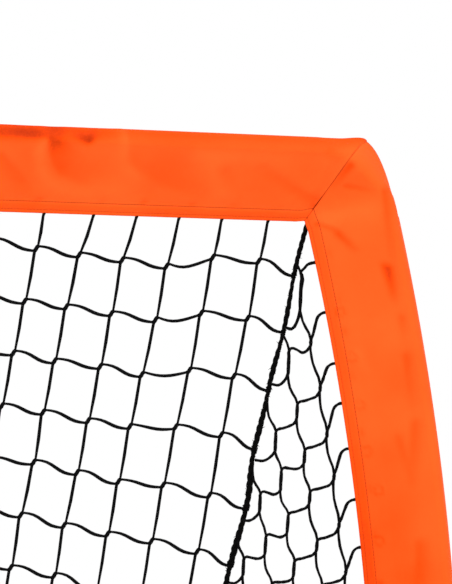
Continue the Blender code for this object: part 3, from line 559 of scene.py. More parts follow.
# %% [markdown]
# ## Folds and puckers
# Sewn cloth is never flat. Broad soft hollows lie across the band, short puckers stand at the stitches
# where each strand of the net pulls, and a few sharp creases run out of the corner. Each crease is a short
# line on the band with a width and a depth. Positive depth is a hollow. Hollows are painted darker, as
# shade, and ridges lighter, as highlight. Below the band the loops of the net show as faint rings.


# %% A fold
FADE = 0.75  # how much shallower a fold is at its end


def hollow(across, along, line, width, depth):
    """A soft trough along a line of (across, along) places in millimetres.

    A pair of widths makes it wider on one side. The first is on the hem's side of a line along the band.
    """
    places = np.array(line) / 1000
    first, second = np.broadcast_to(width, 2) / 1000
    nearest = np.full(across.shape, np.inf)
    spread, gone = np.zeros_like(across), np.zeros_like(across)
    for i, (start, end) in enumerate(zip(places, places[1:])):
        run = end - start
        u, s = across - start[0], along - start[1]
        share = np.clip((u * run[0] + s * run[1]) / (run @ run), 0, 1)
        away = np.hypot(u - share * run[0], s - share * run[1])
        side = (u * run[1] - s * run[0]) / (math.hypot(*run) * np.maximum(away, 1e-9))
        closer = away < nearest
        nearest = np.where(closer, away, nearest)
        spread = np.where(closer, (first + second + side * (first - second)) / 2, spread)
        gone = np.where(closer, (i + share) / (len(places) - 1), gone)
    return depth / 1000 * (1 - FADE * gone) * bell(nearest, spread)


print("a fold is", 1 - FADE, "as deep at its end as at its start")


# %% The folds
BAR_FOLDS = (
    # line on the band, width, depth: all in millimetres
    (((4, 432), (4, 466), (3, 482)), (7, 4), 1.0),
    (((5, 480), (4, 458)), (4, 5), 1.1),
    (((8, 526), (5, 512)), 4.5, 1.7),
    (((4, 532), (3, 556)), 5, 0.5),
    (((8, 488), (23, 494), (33, 500), (43, 510), (50, 530)), (3.2, 18), 1.2),
    (((9, 488), (16, 508), (25, 524)), (9, 3), 0.5),
    (((28, 446), (46, 468), (68, 492)), (12, 4), 0.75),
    (((6, 484), (22, 480), (41, 488), (52, 500), (59, 516), (63, 542)), 6, -0.7),
    (((4, 562), (20, 566), (32, 574), (45, 586)), (7, 2.6), -0.45),
    (((28, 574), (46, 610), (60, 654)), (5, 14), 0.5),
    (((34, 672), (58, 694)), 8, 0.5),
    (((62, 775), (28, 708)), (4, 7), 0.6),
    (((10, 772), (20, 790)), 5, 0.3),
    (((18, 640), (22, 768)), 8, -0.3),
    (((34, 512), (40, 556)), 12, 0.4),
)
POST_FOLDS = (
    (((73, -8), (59, 2), (47, 22)), 3, 0.8),
    (((58, 6), (46, 22)), 4.5, 0.7),
    (((32, -59), (50, -43)), (5, 4), 1.2),
    (((40, -39), (20, -28)), 2.8, 0.6),
    (((66, -12), (20, -12)), 8, -0.6),
    (((9, -24), (13, 4), (16, 36)), (2.8, 6), 0.75),
    (((24, 43), (22, 70)), (3.4, 4.5), 0.8),
    (((19, 46), (20, 76)), 4, 1.0),
    (((17, 92), (18, 112)), 4, 0.6),
    (((30, 300), (36, 352)), (4, 8), 0.55),
    (((44, 372), (34, 420)), 6, 0.45),
    (((19, 128), (21, 172)), (4, 6), 0.65),
    (((21, 190), (30, 240)), (4, 7), 0.65),
    (((37, 200), (30, 244)), 4, 0.45),
    (((62, 118), (50, 150)), 6, -0.3),
)
LOOP_RINGS = ((70, 76), (67, 120), (67, 165), (67, 208), (61, 246), (66, 292), (68, 337), (66, 381))
print(len(BAR_FOLDS) + len(POST_FOLDS), "folds and", len(LOOP_RINGS), "loops under the cloth")


# %% Shaping the cloth
BROAD_WAVES, FINE_WAVES = 0.00035, 0.00008  # height of the cloth's soft unevenness
DIMPLE_DEPTH, DIMPLE_REACH = 0.0005, 0.0026
DIMPLE_ABOVE = 0.0025  # from the stitches to the dimples over them
LOOP_RADIUS, LOOP_WIDTH, LOOP_HEIGHT = 0.0042, 0.0012, 0.0004
PLAIN_TONE = 0.76
SOFT_TONE = 0.3  # below this the tone falls ever more slowly
WAVE_TONE, FOLD_TONE, DIMPLE_TONE = 200, 520, 600  # painted shade in hollows and highlight on ridges: the change of tone for each metre of lift
LOOP_TONE, HEM_TONE, CURVE_TONE = 0.28, 0.26, 0.024  # what a loop, the hem and the pole's curve take off it; off the pole's curve it is painted shade
FLAP_START, FLAP_RISE = 0.012, 0.016  # where the waves begin past the pole, and how far they take to grow
FLAP_STOP, FLAP_FALL = 0.001, 0.012  # where they end before the stitches, and how far they take to fade
ROLL_LIFT, ROLL_RISE = 0.0003, 0.002  # how far the rolled hem stands out, and over what length it rises
GROOVES = ((HEM_STITCH, 0.0007, 0.0011), (EDGE_STITCH, 0.0004, 0.0009))  # place, depth and reach


def waves(across, along, seed, height):
    """Broad soft unevenness, the same on every run."""
    rng = np.random.default_rng(seed)
    total = np.zeros_like(across)
    for _ in range(9):
        length = rng.uniform(0.045, 0.15)
        turn = rng.uniform(-1.1, 1.1)
        phase = rng.uniform(0, 2 * math.pi)
        total += np.sin((along * math.cos(turn) + across * math.sin(turn)) * 2 * math.pi / length + phase)
    return height * total / 3


def stitch_puckers(across, along, pitch, seed):
    """Small dimples just above the main row of stitches."""
    rng = np.random.default_rng(seed)
    places = np.arange(along.min(), along.max(), pitch)
    places = places + rng.uniform(-0.2, 0.2, len(places)) * pitch
    total = np.zeros_like(across)
    for place in places:
        away = np.hypot((along - place) * 0.6, across - HEM_STITCH + DIMPLE_ABOVE)
        total += rng.uniform(0.4, 1.0) * bell(away, DIMPLE_REACH)
    return DIMPLE_DEPTH * total


def shape_cloth(across, along, folds, rings, seed, pitch, round_pole, painted_shade):
    """How far the cloth stands out of its plain shape, and its tone from 0, deep, to 1, light: painted shade
    and highlight, with the loops' faint rings.
    """
    past_pole = np.clip((across - FLAP_START) / FLAP_RISE, 0, 1)
    on_flap = past_pole * np.clip((HEM_STITCH - FLAP_STOP - across) / FLAP_FALL, 0, 1)
    broad = waves(across, along, seed, BROAD_WAVES)
    fine = waves(across * 5, along * 5, seed + 7, FINE_WAVES)
    lift = (broad + fine) * on_flap + fine * bell(across - HEM_STITCH, FLAP_FALL)
    # painted highlight on the waves' crests, and painted shade in their hollows and in each fold
    tone_value = PLAIN_TONE + broad * on_flap * WAVE_TONE
    for line, width, depth in folds:
        trough = hollow(across, along, line, width, depth)
        lift -= trough
        tone_value -= trough * FOLD_TONE
    dimples = stitch_puckers(across, along, pitch, seed + 3)
    lift -= dimples
    tone_value -= dimples * DIMPLE_TONE
    for u, s in rings:
        away = np.hypot(across - u / 1000, along - s / 1000)
        loop = bell(away - LOOP_RADIUS, LOOP_WIDTH)
        lift += LOOP_HEIGHT * loop
        tone_value -= LOOP_TONE * loop
    hem_roll = np.clip((across - HEM_STITCH) / ROLL_RISE, 0, 1)
    lift += ROLL_LIFT * hem_roll
    for place, depth, reach in GROOVES:
        lift -= depth * bell(across - place, reach)
    # painted shade round the pole and along the folded edge
    tone_value -= HEM_TONE * hem_roll + CURVE_TONE * round_pole + painted_shade
    # the deepest painted shade keeps a soft slope of colour, and doesn't all end at the same brown
    deepest = SOFT_TONE * np.exp(np.minimum(tone_value, SOFT_TONE) / SOFT_TONE - 1)
    return lift, np.clip(np.maximum(tone_value, deepest), 0, 1)


print("between folds the cloth's tone is", PLAIN_TONE)

# %% [markdown]
# ## Working on one mesh
# An operator acts on all that is selected, so a piece is picked alone before anything is done to it. When
# its mesh is closed again, points that lie together are merged and all faces are turned outwards.


# %% Edit mode
def deselect():
    bpy.ops.object.select_all(action="DESELECT")


def pick(piece):
    deselect()
    piece.select_set(True)
    bpy.context.view_layer.objects.active = piece


def open_mesh(piece):
    pick(piece)
    bpy.ops.object.mode_set(mode="EDIT")
    bpy.ops.mesh.select_all(action="SELECT")


def close_mesh(merge=0.000002):
    """Merge the points within a distance of each other, if one is given, and turn the faces outwards."""
    bpy.ops.mesh.select_all(action="SELECT")
    if merge:
        bpy.ops.mesh.remove_doubles(threshold=merge)
    bpy.ops.mesh.normals_make_consistent(inside=False)
    bpy.ops.object.mode_set(mode="OBJECT")


def apply_modifier(piece, kind, **settings):
    bpy.context.view_layer.objects.active = piece
    made = piece.modifiers.new(kind.lower(), kind)
    for name, value in settings.items():
        setattr(made, name, value)
    bpy.ops.object.modifier_apply(modifier=made.name)


print("one piece is worked on at a time")

# %% [markdown]
# ## Building a band
# The mesh starts as a flat grid with as many rows as the band has rings and as many columns as its section
# has points. Its points are then laid round the pole, pushed in and out by the folds, and given their place
# on the flat cloth as a UV map. Solidify turns the surface into cloth with a real thickness.


# %% Grids with a map
def grid_piece(name, places):
    """A grid primitive whose points are moved to the places given, rows by columns."""
    rows, columns = places.shape[:2]
    bpy.ops.mesh.primitive_grid_add(x_subdivisions=columns - 1, y_subdivisions=rows - 1, size=1)
    piece = bpy.context.object
    piece.name = name
    piece.data.name = name
    piece.data.vertices.foreach_set("co", places.astype(np.float32).ravel())
    piece.data.update()
    return piece


def lay_map(piece, label, across, along):
    """Name a grid's UV map and give each point its place on the flat cloth, in metres."""
    mesh = piece.data
    corners = np.zeros(len(mesh.loops), np.int32)
    mesh.loops.foreach_get("vertex_index", corners)
    flat = np.stack((across.ravel()[corners], along.ravel()[corners]), axis=1)
    layer = mesh.uv_layers.active
    layer.name = label
    layer.data.foreach_set("uv", flat.astype(np.float32).ravel())


print("grids get a map in metres")


# %% Band builder
CLOTH_THICKNESS = 0.00045
ROUND_FROM = 0.0035  # further than this from the band's middle, the cloth lies round the pole
BACK_FOLLOWS = 0.6  # how much of the front layer's lift the back layer takes
DEEPEST = 0.0013  # the two layers would meet beyond this


def closed(values):
    """Rings with their first point once more at their end."""
    return np.concatenate((values, values[:, :1]), axis=1)


def way_out(rings):
    """The direction out of the cloth at each point."""
    edge_run = np.roll(rings, -1, axis=1) - np.roll(rings, 1, axis=1)
    out = np.cross(edge_run, np.gradient(rings, axis=0))
    out /= np.maximum(np.linalg.norm(out, axis=2, keepdims=True), 1e-12)
    centre = rings.mean(axis=1, keepdims=True)
    return out if ((rings - centre) * out).sum() >= 0 else -out


def lay_band(name, rings, sections, alongs, folds, loop_rings, seed, pitch, seam_rows, painted_shade):
    """Rings are places, sections (across, through) pairs, and alongs the cloth's own length there."""
    across, through_band = sections[:, :, 0], sections[:, :, 1]
    front = through_band < 0
    round_pole = np.abs(through_band) > ROUND_FROM
    lift, tone_value = shape_cloth(across, alongs, folds, loop_rings, seed, pitch, round_pole, painted_shade)
    # the two layers move together, so that they never cross
    lift = np.where(front, lift, lift * BACK_FOLLOWS)
    lift = np.maximum(lift, -DEEPEST)
    seam_value = np.zeros(lift.shape)
    for row in seam_rows:
        lift[row] -= SEAM_DEPTH
        seam_value[row] = 1.0
    piece = grid_piece(name, closed(rings + way_out(rings) * lift[:, :, None]))
    lay_map(piece, "band", closed(across * np.where(front, -1.0, 1.0)), closed(alongs))
    for label, values in (("tone", tone_value), ("seam", seam_value)):
        attribute = piece.data.attributes.new(label, "FLOAT", "POINT")
        attribute.data.foreach_set("value", closed(values).astype(np.float32).ravel())
    open_mesh(piece)
    close_mesh(0.00002)
    bpy.ops.object.shade_smooth()
    piece.data.materials.append(orange_cloth)
    apply_modifier(piece, "SOLIDIFY", thickness=CLOTH_THICKNESS, offset=-1)
    return piece


print("cloth is", CLOTH_THICKNESS * 1000, "mm thick")

# %% [markdown]
# ## Crossbar sleeve
# The crossbar's band runs from one corner seam to the other. Its rings are close together near the corners,
# where the folds are sharp, and further apart in the middle.

# %% Crossbar sleeve
FINE_STEP = 0.0028
COARSE_STEP = 0.007
FINE_REACH = 0.36  # the finely ringed length at each end
BAR_CORNER_RINGS = 26  # on their way from straight to the mitre
BAR_CROWDING = 1.15  # above 1 the rings lie closer together at the mitre
BAR_PULL_START = 0.5  # the share of that way from which they are drawn to the shared seam
BAR_SHADE = 0.42  # painted shade: how much darker the colour is along the folded edge, where the cloth turns from the light
EDGE_REACH = 0.008
BAR_STITCHES = 0.0455  # from one pull of the net to the next


def bar_rings():
    shares = 1 - (1 - np.linspace(0, 1, BAR_CORNER_RINGS)) ** BAR_CROWDING
    corner = [bar_ring(float(share)) for share in shares]
    fine = np.arange(PLAIN_END - FINE_STEP, PLAIN_END - FINE_REACH, -FINE_STEP)
    coarse = np.linspace(fine[-1] - COARSE_STEP, 0, round((fine[-1]) / COARSE_STEP))
    rings, sections, alongs = [], [], []
    flat = np.array([tuple(BAR_FOLD + u * DOWN + v * THROUGH) for u, v in PLAIN_SECTION.tolist()])
    for x in [*coarse[::-1], *fine[::-1]]:
        ring = flat.copy()
        ring[:, 0] = x
        rings.append(ring)
        sections.append(PLAIN_SECTION)
        alongs.append(np.full(len(ring), x))
    for share, (ring, section) in zip(shares, corner):
        ring = drawn_to_seam(ring, bar_end, section, share, BAR_PULL_START, TIP.x - PLAIN_END)
        rings.append(ring)
        sections.append(section)
        alongs.append(ring[:, 0])
    return rings, sections, alongs


half_rings, half_sections, half_alongs = bar_rings()
mirror = np.array((-1.0, 1.0, 1.0))
bar_places = np.array([*[ring * mirror for ring in reversed(half_rings[1:])], *half_rings])
bar_sections = np.array([*reversed(half_sections[1:]), *half_sections])
bar_alongs = np.array([*[-along for along in reversed(half_alongs[1:])], *half_alongs])
# every second fold comes back mirrored on the left half
bar_folds = list(BAR_FOLDS)
for line, width, depth in BAR_FOLDS[::2]:
    bar_folds.append(([(u, -s) for u, s in line], np.broadcast_to(width, 2)[::-1], depth))
# painted shade along the folded edge, where the cloth curves away from the light
bar_shade = BAR_SHADE * bell(bar_sections[:, :, 0], EDGE_REACH)
crossbar_sleeve = lay_band(
    "crossbar_cloth",
    bar_places,
    bar_sections,
    bar_alongs,
    folds=bar_folds,
    loop_rings=(),
    seed=11,
    pitch=BAR_STITCHES,
    seam_rows=(0, -1),
    painted_shade=bar_shade,
)
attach(crossbar_sleeve, "mouth_frame")
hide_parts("crossbar_sleeve")
print("crossbar cloth has", len(crossbar_sleeve.data.polygons), "faces")

# %% [markdown]
# ## Post sleeves
# Each post's band starts at the corner seam and follows the bow down to just above the hinge, where its end
# is open and the pole comes out. The left one is the mirror image of the right one, with its own
# unevenness.

# %% Post sleeves
POST_END = 0.031  # from the hinge axis to the sleeve's lower end
HINGE_ANGLE = math.asin((HINGE_Z - BOW_CENTRE.z) / BOW_RADIUS)
POST_CORNER_RINGS = 34
POST_CROWDING = 1.1
POST_PULL_START = 0.1
POST_EDGE_SHADE, POST_HEM_SHADE = 0.12, 0.30  # painted shade: how much darker the colour is along the fold and at the hem
HEM_SHADE_FROM, HEM_SHADE_OVER = 0.10, 0.20  # how far down that begins, and how far it takes to grow
HEM_SHADE_ACROSS = 0.04
POST_FINE_REACH = 0.32
NARROWER, NARROW_FROM = 0.03, 0.35  # how much narrower the band gets, and how far down that takes
POST_STITCHES = 0.0445


def narrowing(drop):
    """The bowed band gets a little narrower on its way down."""
    return 1 - NARROWER * min(1.0, max(0.0, drop) / NARROW_FROM)


def post_rings():
    rings, sections, alongs = [], [], []
    for share in (1 - np.linspace(0, 1, POST_CORNER_RINGS) ** POST_CROWDING).tolist():
        ring, section, drops = post_corner_ring(share)
        way = reach_to_mitre(TOP_FOLD)
        rings.append(drawn_to_seam(ring, post_end, section, share, POST_PULL_START, way))
        sections.append(section)
        alongs.append(drops)
    length = (ELBOW_END - HINGE_ANGLE) * BOW_RADIUS - POST_END
    fine = np.arange(FINE_STEP, POST_FINE_REACH, FINE_STEP)
    coarse = np.linspace(fine[-1] + COARSE_STEP, length, round((length - fine[-1]) / COARSE_STEP))
    for drop in [*fine, *coarse]:
        centre, to_hem, through_band = bow(ELBOW_END - drop / BOW_RADIUS)
        fold = centre - FOLD * to_hem
        narrow = narrowing(float(drop))
        places = [(u if u < 2 * FOLD else u * narrow, v) for u, v in PLAIN_SECTION.tolist()]
        rings.append(np.array([tuple(fold + u * to_hem + v * through_band) for u, v in places]))
        sections.append(PLAIN_SECTION)
        alongs.append(np.full(len(PLAIN_SECTION), drop))
    return np.array(rings), np.array(sections), np.array(alongs)


post_places, post_sections, post_alongs = post_rings()
post_across = post_sections[:, :, 0]
# painted shade: darker along the fold, and further down towards the hem
low_down = np.clip((post_alongs - HEM_SHADE_FROM) / HEM_SHADE_OVER, 0, 1)
post_shade = POST_EDGE_SHADE * bell(post_across, EDGE_REACH)
post_shade += POST_HEM_SHADE * low_down * np.clip(post_across / HEM_SHADE_ACROSS, 0, 1)
for name, side in SIDES.items():
    places = post_places * np.array((side, 1.0, 1.0))
    sleeve = lay_band(
        f"post_cloth_{name}",
        places,
        post_sections,
        post_alongs,
        folds=POST_FOLDS,
        loop_rings=LOOP_RINGS,
        seed=31 + side,
        pitch=POST_STITCHES,
        seam_rows=(0,),
        painted_shade=post_shade,
    )
    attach(sleeve, "mouth_frame")
    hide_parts(f"post_sleeve_{name}")
    print(sleeve.name, "has", len(sleeve.data.polygons), "faces")

# %% [markdown]
# ## Black twine and rope
# The net is braided from black polyester. Under a lens each strand shows a fine spiral of plaits, which is
# drawn by a bump that turns round the strand as it runs along it, and whose backs are painted lighter as a
# highlight. The UV map of a strand gives the place round it, from 0 to 1, and the metres along it. The edge
# rope is the same stuff, thicker and rougher, and its painted highlight and fuzz are a little lighter.


# %% Twine finishes
def braided_finish(name, colour, light, plait, roughness, depth):
    """Dark plaits whose backs are painted lighter, as a highlight, with random fuzz. The plait's length and
    depth are in metres.
    """
    made, shader, shade = new_finish(name, roughness, Specular_IOR_Level=0.05)
    around, along = shade.map_ways("strand")
    turn = around * (4 * math.pi)
    run = along * (2 * math.pi / plait)
    plaits = (turn + run).sine() * (turn - run).sine()
    fuzz = shade.noise(900.0, 3.0, shade.own_place())
    # painted highlight on the plaits' backs, mixed with random fuzz
    shine = (plaits * 0.5 + fuzz).between(0.3, 1.3)
    paint(shader, shade, Base_Color=shine.mix(colour, light), Roughness=roughness - 0.1 + fuzz * 0.2)
    paint(shader, shade, Normal=bump(shade, plaits + fuzz * 0.8, depth))
    return made


TWINE_BLACK, TWINE_SHINE = (0.0015, 0.0015, 0.0018), (0.005, 0.005, 0.0055)
ROPE_BLACK, ROPE_SHINE = (0.0015, 0.0015, 0.0015), (0.006, 0.006, 0.0055)
black_twine = braided_finish("black_twine", TWINE_BLACK, TWINE_SHINE, 0.003, 0.75, 0.0003)
rope_fibre = braided_finish("rope_fibre", ROPE_BLACK, ROPE_SHINE, 0.0022, 0.88, 0.0004)
print("twine and rope are ready")

# %% [markdown]
# ## Laying strands
# A net of a few thousand strands is best laid by its own small tool. It takes the line that a strand
# follows and its thickness at each point, sweeps a ring of a few sides along it and closes both ends. All
# strands of a net go into one mesh. Curves with a bevel could do the same, but they couldn't give each
# strand its own spiral map.


# %% Soft lines
def lengths_along(points):
    """How far along its line each point lies."""
    return np.concatenate(([0], np.cumsum(np.linalg.norm(np.diff(points, axis=0), axis=1))))


def smooth_line(points, samples):
    """Points on a soft curve through the given ones, with so many samples for each stretch."""
    points = np.asarray(points, float)
    place = lengths_along(points)
    slope = np.gradient(points, place, axis=0)
    stretches = [np.linspace(a, b, samples, endpoint=False) for a, b in zip(place, place[1:])]
    at = np.concatenate([*stretches, place[-1:]])
    i = np.clip(np.searchsorted(place, at, side="right") - 1, 0, len(place) - 2)
    width = (place[i + 1] - place[i])[:, None]
    t = ((at - place[i])[:, None]) / width
    a, b = points[i], points[i + 1]
    start, end = slope[i] * width, slope[i + 1] * width
    return (
        (2 * t**3 - 3 * t**2 + 1) * a
        + (t**3 - 2 * t**2 + t) * start
        + (3 * t**2 - 2 * t**3) * b
        + (t**3 - t**2) * end
    )


print("a soft line through a right angle:", smooth_line([(0, 0), (1, 0), (1, 1)], 2).round(2).tolist())


# %% Strand tool
class Strands:
    """Collects swept strands and makes them one mesh."""

    def __init__(self, sides=6):
        self.sides = sides
        self.places, self.faces, self.maps = [], [], []
        self.count = 0

    def lay(self, points, radii, facing):
        points = np.asarray(points, float)
        radii = np.broadcast_to(np.asarray(radii, float), (len(points),))
        run = np.gradient(points, axis=0)
        run /= np.linalg.norm(run, axis=1, keepdims=True)
        side = np.cross(run, np.broadcast_to(facing, run.shape))
        side /= np.linalg.norm(side, axis=1, keepdims=True)
        top = np.cross(side, run)
        n, sides = len(points), self.sides
        angles = np.arange(sides) * 2 * math.pi / sides
        ring = (
            points[:, None]
            + radii[:, None, None] * np.cos(angles)[None, :, None] * side[:, None]
            + radii[:, None, None] * np.sin(angles)[None, :, None] * top[:, None]
        )
        self.places.append(ring.reshape(-1, 3))
        length = lengths_along(points)
        i, j = np.meshgrid(np.arange(n - 1), np.arange(sides), indexing="ij")
        corners = ((i, j), (i, j + 1), (i + 1, j + 1), (i + 1, j))
        quads = np.stack([a * sides + b % sides for a, b in corners], axis=-1)
        flat = np.stack([np.stack((b / sides, length[a]), axis=-1) for a, b in corners], axis=2)
        caps = []
        for base, backwards in ((0, True), ((n - 1) * sides, False)):
            for k in range(sides // 2 - 1):
                cap = [0, 2 * k + 1, 2 * k + 2, 2 * k + 3]
                cap = [base + c % sides for c in cap]
                caps.append(cap[::-1] if backwards else cap)
        self.faces.append(np.concatenate((quads.reshape(-1, 4), np.array(caps))) + self.count)
        self.maps.append(np.concatenate((flat.reshape(-1, 2), np.zeros((4 * len(caps), 2)))))
        self.count += n * sides

    def to_side(self, side):
        """Strands are laid on the right. A side of -1 mirrors them to the left."""
        self.places = [places * np.array((side, 1.0, 1.0)) for places in self.places]
        return self

    def make(self, name, finish, map_name="strand"):
        mesh = bpy.data.meshes.new(name)
        mesh.from_pydata(np.concatenate(self.places), [], np.concatenate(self.faces))
        layer = mesh.uv_layers.new(name=map_name)
        layer.data.foreach_set("uv", np.concatenate(self.maps).astype(np.float32).ravel())
        mesh.materials.append(finish)
        mesh.update()
        piece = bpy.data.objects.new(name, mesh)
        scene.collection.objects.link(piece)
        open_mesh(piece)
        close_mesh(None)
        bpy.ops.object.shade_smooth()
        print(name, "has", len(mesh.polygons), "faces")
        return piece


# %% [markdown]
# ## Back net
# The net is knotless: where two strands meet, they are braided through each other for a few millimetres. A
# crossing is a short spindle that leans a little, since the level strand pulls on it from both sides. A
# level strand comes in at its lower end and leaves at its upper end, and the upright is shifted by it.
# Between two crossings the level strand is slack: it leaves flat, drops and arrives flat, and where the
# next crossing lies higher, it sags. Strands are thick below a crossing and thin above the next one. The
# first meshes below the hem are of uneven length, since the hem is sewn over whatever mesh lies there, and
# the meshes beside the rope are stretched.

# %% Meshes of the back net
TWINE = 0.00142  # radius
CORD_RADIUS = 0.0021  # of the cord at the foot of the nets
ROPE_HEAD = HEM_CORNER + Vector((0.0032, 0, 0))
MESH_ROWS = 23
GAPS_FROM_ROPE = (0.039, 0.048, 0.046, 0.045, 0.046, 0.044)  # widths of the meshes beside the rope
MIDDLE_COLUMNS = 11
FIRST_MESH = (0.054, 0.040, 0.039, 0.047, 0.044, 0.038, 0.033)  # from the hem down, from the rope inwards
INNER_MESH, INNER_SWING = 0.036, 0.009  # the same further in
STRETCH, STRETCH_REACH = 0.062, 0.13  # beside the rope the rows hang lower
MIDDLE_RISE = 0.006
SCATTER, SIDE_SCATTER = 0.0014, 0.0012  # how far chance moves a crossing along the net and across it
FOLLOWS_ROPE = 1.2  # how much of the rope's slant the outermost uprights take

half_columns = []
column_x = HEM_CORNER.x + 0.0015
for gap in GAPS_FROM_ROPE:
    column_x -= gap
    half_columns.append(column_x)
half_columns += [column_x * (1 - i / MIDDLE_COLUMNS) for i in range(1, MIDDLE_COLUMNS)]
columns = np.array([-x for x in half_columns] + [0.0] + half_columns[::-1])
order_from_rope = np.minimum(np.arange(len(columns)), np.arange(len(columns))[::-1]) + 1
first_mesh = []
for i in order_from_rope.tolist():
    inner = INNER_MESH + INNER_SWING * math.sin(2.4 * i)
    first_mesh.append(FIRST_MESH[i] if i < len(FIRST_MESH) else inner)
ACROSS_NET = np.array((1.0, 0.0, 0.0))
DOWN_NET = np.array(SLOPE)
NET_FACING = np.cross(ACROSS_NET, DOWN_NET)


def rope_x(drop):
    """The rope's place across the goal at a distance down the slope, on the right."""
    return ROPE_HEAD.x + (ROPE_FOOT.x - ROPE_HEAD.x) * drop / SLOPE_LENGTH


def net_drop(row, first, from_rope):
    """How far down the slope a row's crossing lies."""
    stretch = STRETCH * bell(from_rope, STRETCH_REACH) - MIDDLE_RISE
    share = row / MESH_ROWS
    return first + (SLOPE_LENGTH - first) * share + stretch * np.sin(np.pi * share**0.8) ** 1.8


def net_point(x, drop):
    start = np.array((0.0, HEM_CORNER.y, HEM_CORNER.z))
    return start + np.asarray(x)[..., None] * ACROSS_NET + np.asarray(drop)[..., None] * DOWN_NET


print("the back net has", MESH_ROWS, "rows and", len(columns), "uprights")


# %% Strands of the back net
CROSSING = 0.0036  # half the length of a crossing
CROSSING_LEAN = 0.0011
UPRIGHT_BULGE = 0.0011
HEM_SHIFTS = (0.0, 0.0004, 0.0004, 0.0023, 0.0040, 0.0064, 0.0007)  # of the uprights where they are sewn in
LEVEL_IN = (-0.0028, 0.0024)  # where a level strand meets a crossing: across and down from its middle
LEVEL_OUT = (0.0028, -0.0021)
LEVEL_SAG, MOST_SAG = 0.0032, 0.0045
SPINDLE = ((-1.0, 0.7), (-0.5, 1.35), (0.2, 1.5), (0.7, 1.2), (1.0, 0.7))  # thickness along a crossing


def slack_strand(start, end, samples=9):
    """A level strand between two crossings, as (across, down) pairs."""
    (x0, s0), (x1, s1) = start, end
    drop = s1 - s0
    sag = min(MOST_SAG, max(0.0, LEVEL_SAG - 0.36 * drop))
    t = np.linspace(0, 1, samples)
    down = s0 + drop * t - 0.11 * drop * np.sin(2 * math.pi * t) + sag * np.sin(math.pi * t)
    return np.stack((x0 + (x1 - x0) * t, down), axis=1)


def spindle(strands, middle, run, half, facing, stout=1.0):
    """The thick braided length at a crossing."""
    line = [tuple(Vector(middle) + s * half * Vector(run)) for s, _ in SPINDLE]
    strands.lay(line, [TWINE * k * stout for _, k in SPINDLE], facing)


rng = np.random.default_rng(5)
rows = np.arange(MESH_ROWS)
from_rope = HEM_CORNER.x - np.abs(columns)
drops = net_drop(rows[:, None], np.array(first_mesh)[None, :], from_rope[None, :])
drops = drops + rng.uniform(-SCATTER, SCATTER, drops.shape)
drift = FOLLOWS_ROPE * (np.abs(columns) / HEM_CORNER.x) ** 4 * np.sign(columns)
knots_x = columns[None, :] + drift[None, :] * (rope_x(drops) - ROPE_HEAD.x)
knots_x = knots_x + rng.uniform(-SIDE_SCATTER, SIDE_SCATTER, knots_x.shape)
print("crossings of the back net:", knots_x.size)


# %% Back net
back = Strands()
for c, column in enumerate(columns.tolist()):
    order = int(order_from_rope[c])
    shift = HEM_SHIFTS[order] if order < len(HEM_SHIFTS) else 0.003 * math.sin(1.7 * c)
    x_top = column + math.copysign(shift, column)
    line, thick = [(x_top, -0.0002), (x_top - 0.0003, 0.003)], [1.25, 1.0]
    for x, drop in zip(knots_x[:, c], drops[:, c]):
        before = line[-1]
        line.append(((before[0] + x) / 2 + UPRIGHT_BULGE, (before[1] + drop) / 2))
        line += [(x + CROSSING_LEAN, drop - CROSSING), (x - CROSSING_LEAN, drop + CROSSING)]
        thick += [rng.uniform(1.15, 1.28), 0.86, 1.14]
    line.append((column + drift[c] * (ROPE_FOOT.x - ROPE_HEAD.x), SLOPE_LENGTH - 0.001))
    thick.append(1.0)
    line = np.array(line)
    back.lay(net_point(line[:, 0], line[:, 1]), TWINE * np.array(thick), NET_FACING)

for r in range(MESH_ROWS):
    rope_drop = float(net_drop(r, FIRST_MESH[0], 0.0))
    half_width = rope_x(rope_drop) - 0.0015
    line = [(-half_width, rope_drop)]
    for x, drop in zip(knots_x[r], drops[r]):
        into = (x + LEVEL_IN[0], drop + LEVEL_IN[1])
        line += [tuple(p) for p in slack_strand(line[-1], into)[1:]]
        line += [(x, drop), (x + LEVEL_OUT[0], drop + LEVEL_OUT[1])]
    line += [tuple(p) for p in slack_strand(line[-1], (half_width, rope_drop))[1:]]
    line = np.array(line)
    thick = TWINE * (1.02 - 0.16 * np.sin((np.arange(len(line)) + 2.5) * 2 * math.pi / 10))
    back.lay(net_point(line[:, 0], line[:, 1]), thick, NET_FACING)

LEANING = DOWN_NET - CROSSING_LEAN / CROSSING * ACROSS_NET
for x, drop in zip(knots_x.ravel(), drops.ravel()):
    spindle(back, net_point(x, drop), LEANING, CROSSING, NET_FACING)

foot_line = np.linspace(-ROPE_FOOT.x, ROPE_FOOT.x, 90)
foot_drop = SLOPE_LENGTH - 0.0012 + 0.0006 * np.sin(foot_line * 137)
back.lay(net_point(foot_line, foot_drop), CORD_RADIUS, NET_FACING)
back_net = back.make("back_net_twine", black_twine)
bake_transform(back_net)
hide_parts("back_net")

# %% [markdown]
# ## Side nets
# Each side net is cut on the slant, so it has one mesh more in each row further down, and it hangs much
# slacker than the back net. Its level strands leave the post's hem, drop steeply to the first upright and
# go on to the rope in loose steps, and on the way each runs beside the upright for a centimetre or two.
# Near the ground the net is tied down, so the steps become flat there. When the mouth folds down, this net
# can't follow it, and it then lies flat on the base tube; here it is made only as it hangs when the goal
# stands.

# %% Lines of the side nets
SIDE_ROWS = (1.109, 1.064, 1.018, 0.982, 0.941, 0.895)  # heights where the upper rows leave the hem
ROW_PITCH = 0.0432
FIRST_UPRIGHT = 0.022  # from the post's hem
UPRIGHT_PITCH = 0.0292
UPRIGHTS = 18
LOWEST_ROW = 0.055
SLANT, FIRST_DROP = 0.74, 0.0095  # how far a slack row falls for each metre from the hem, and at once
SIDE_NET_LENGTH = 0.531  # along its foot
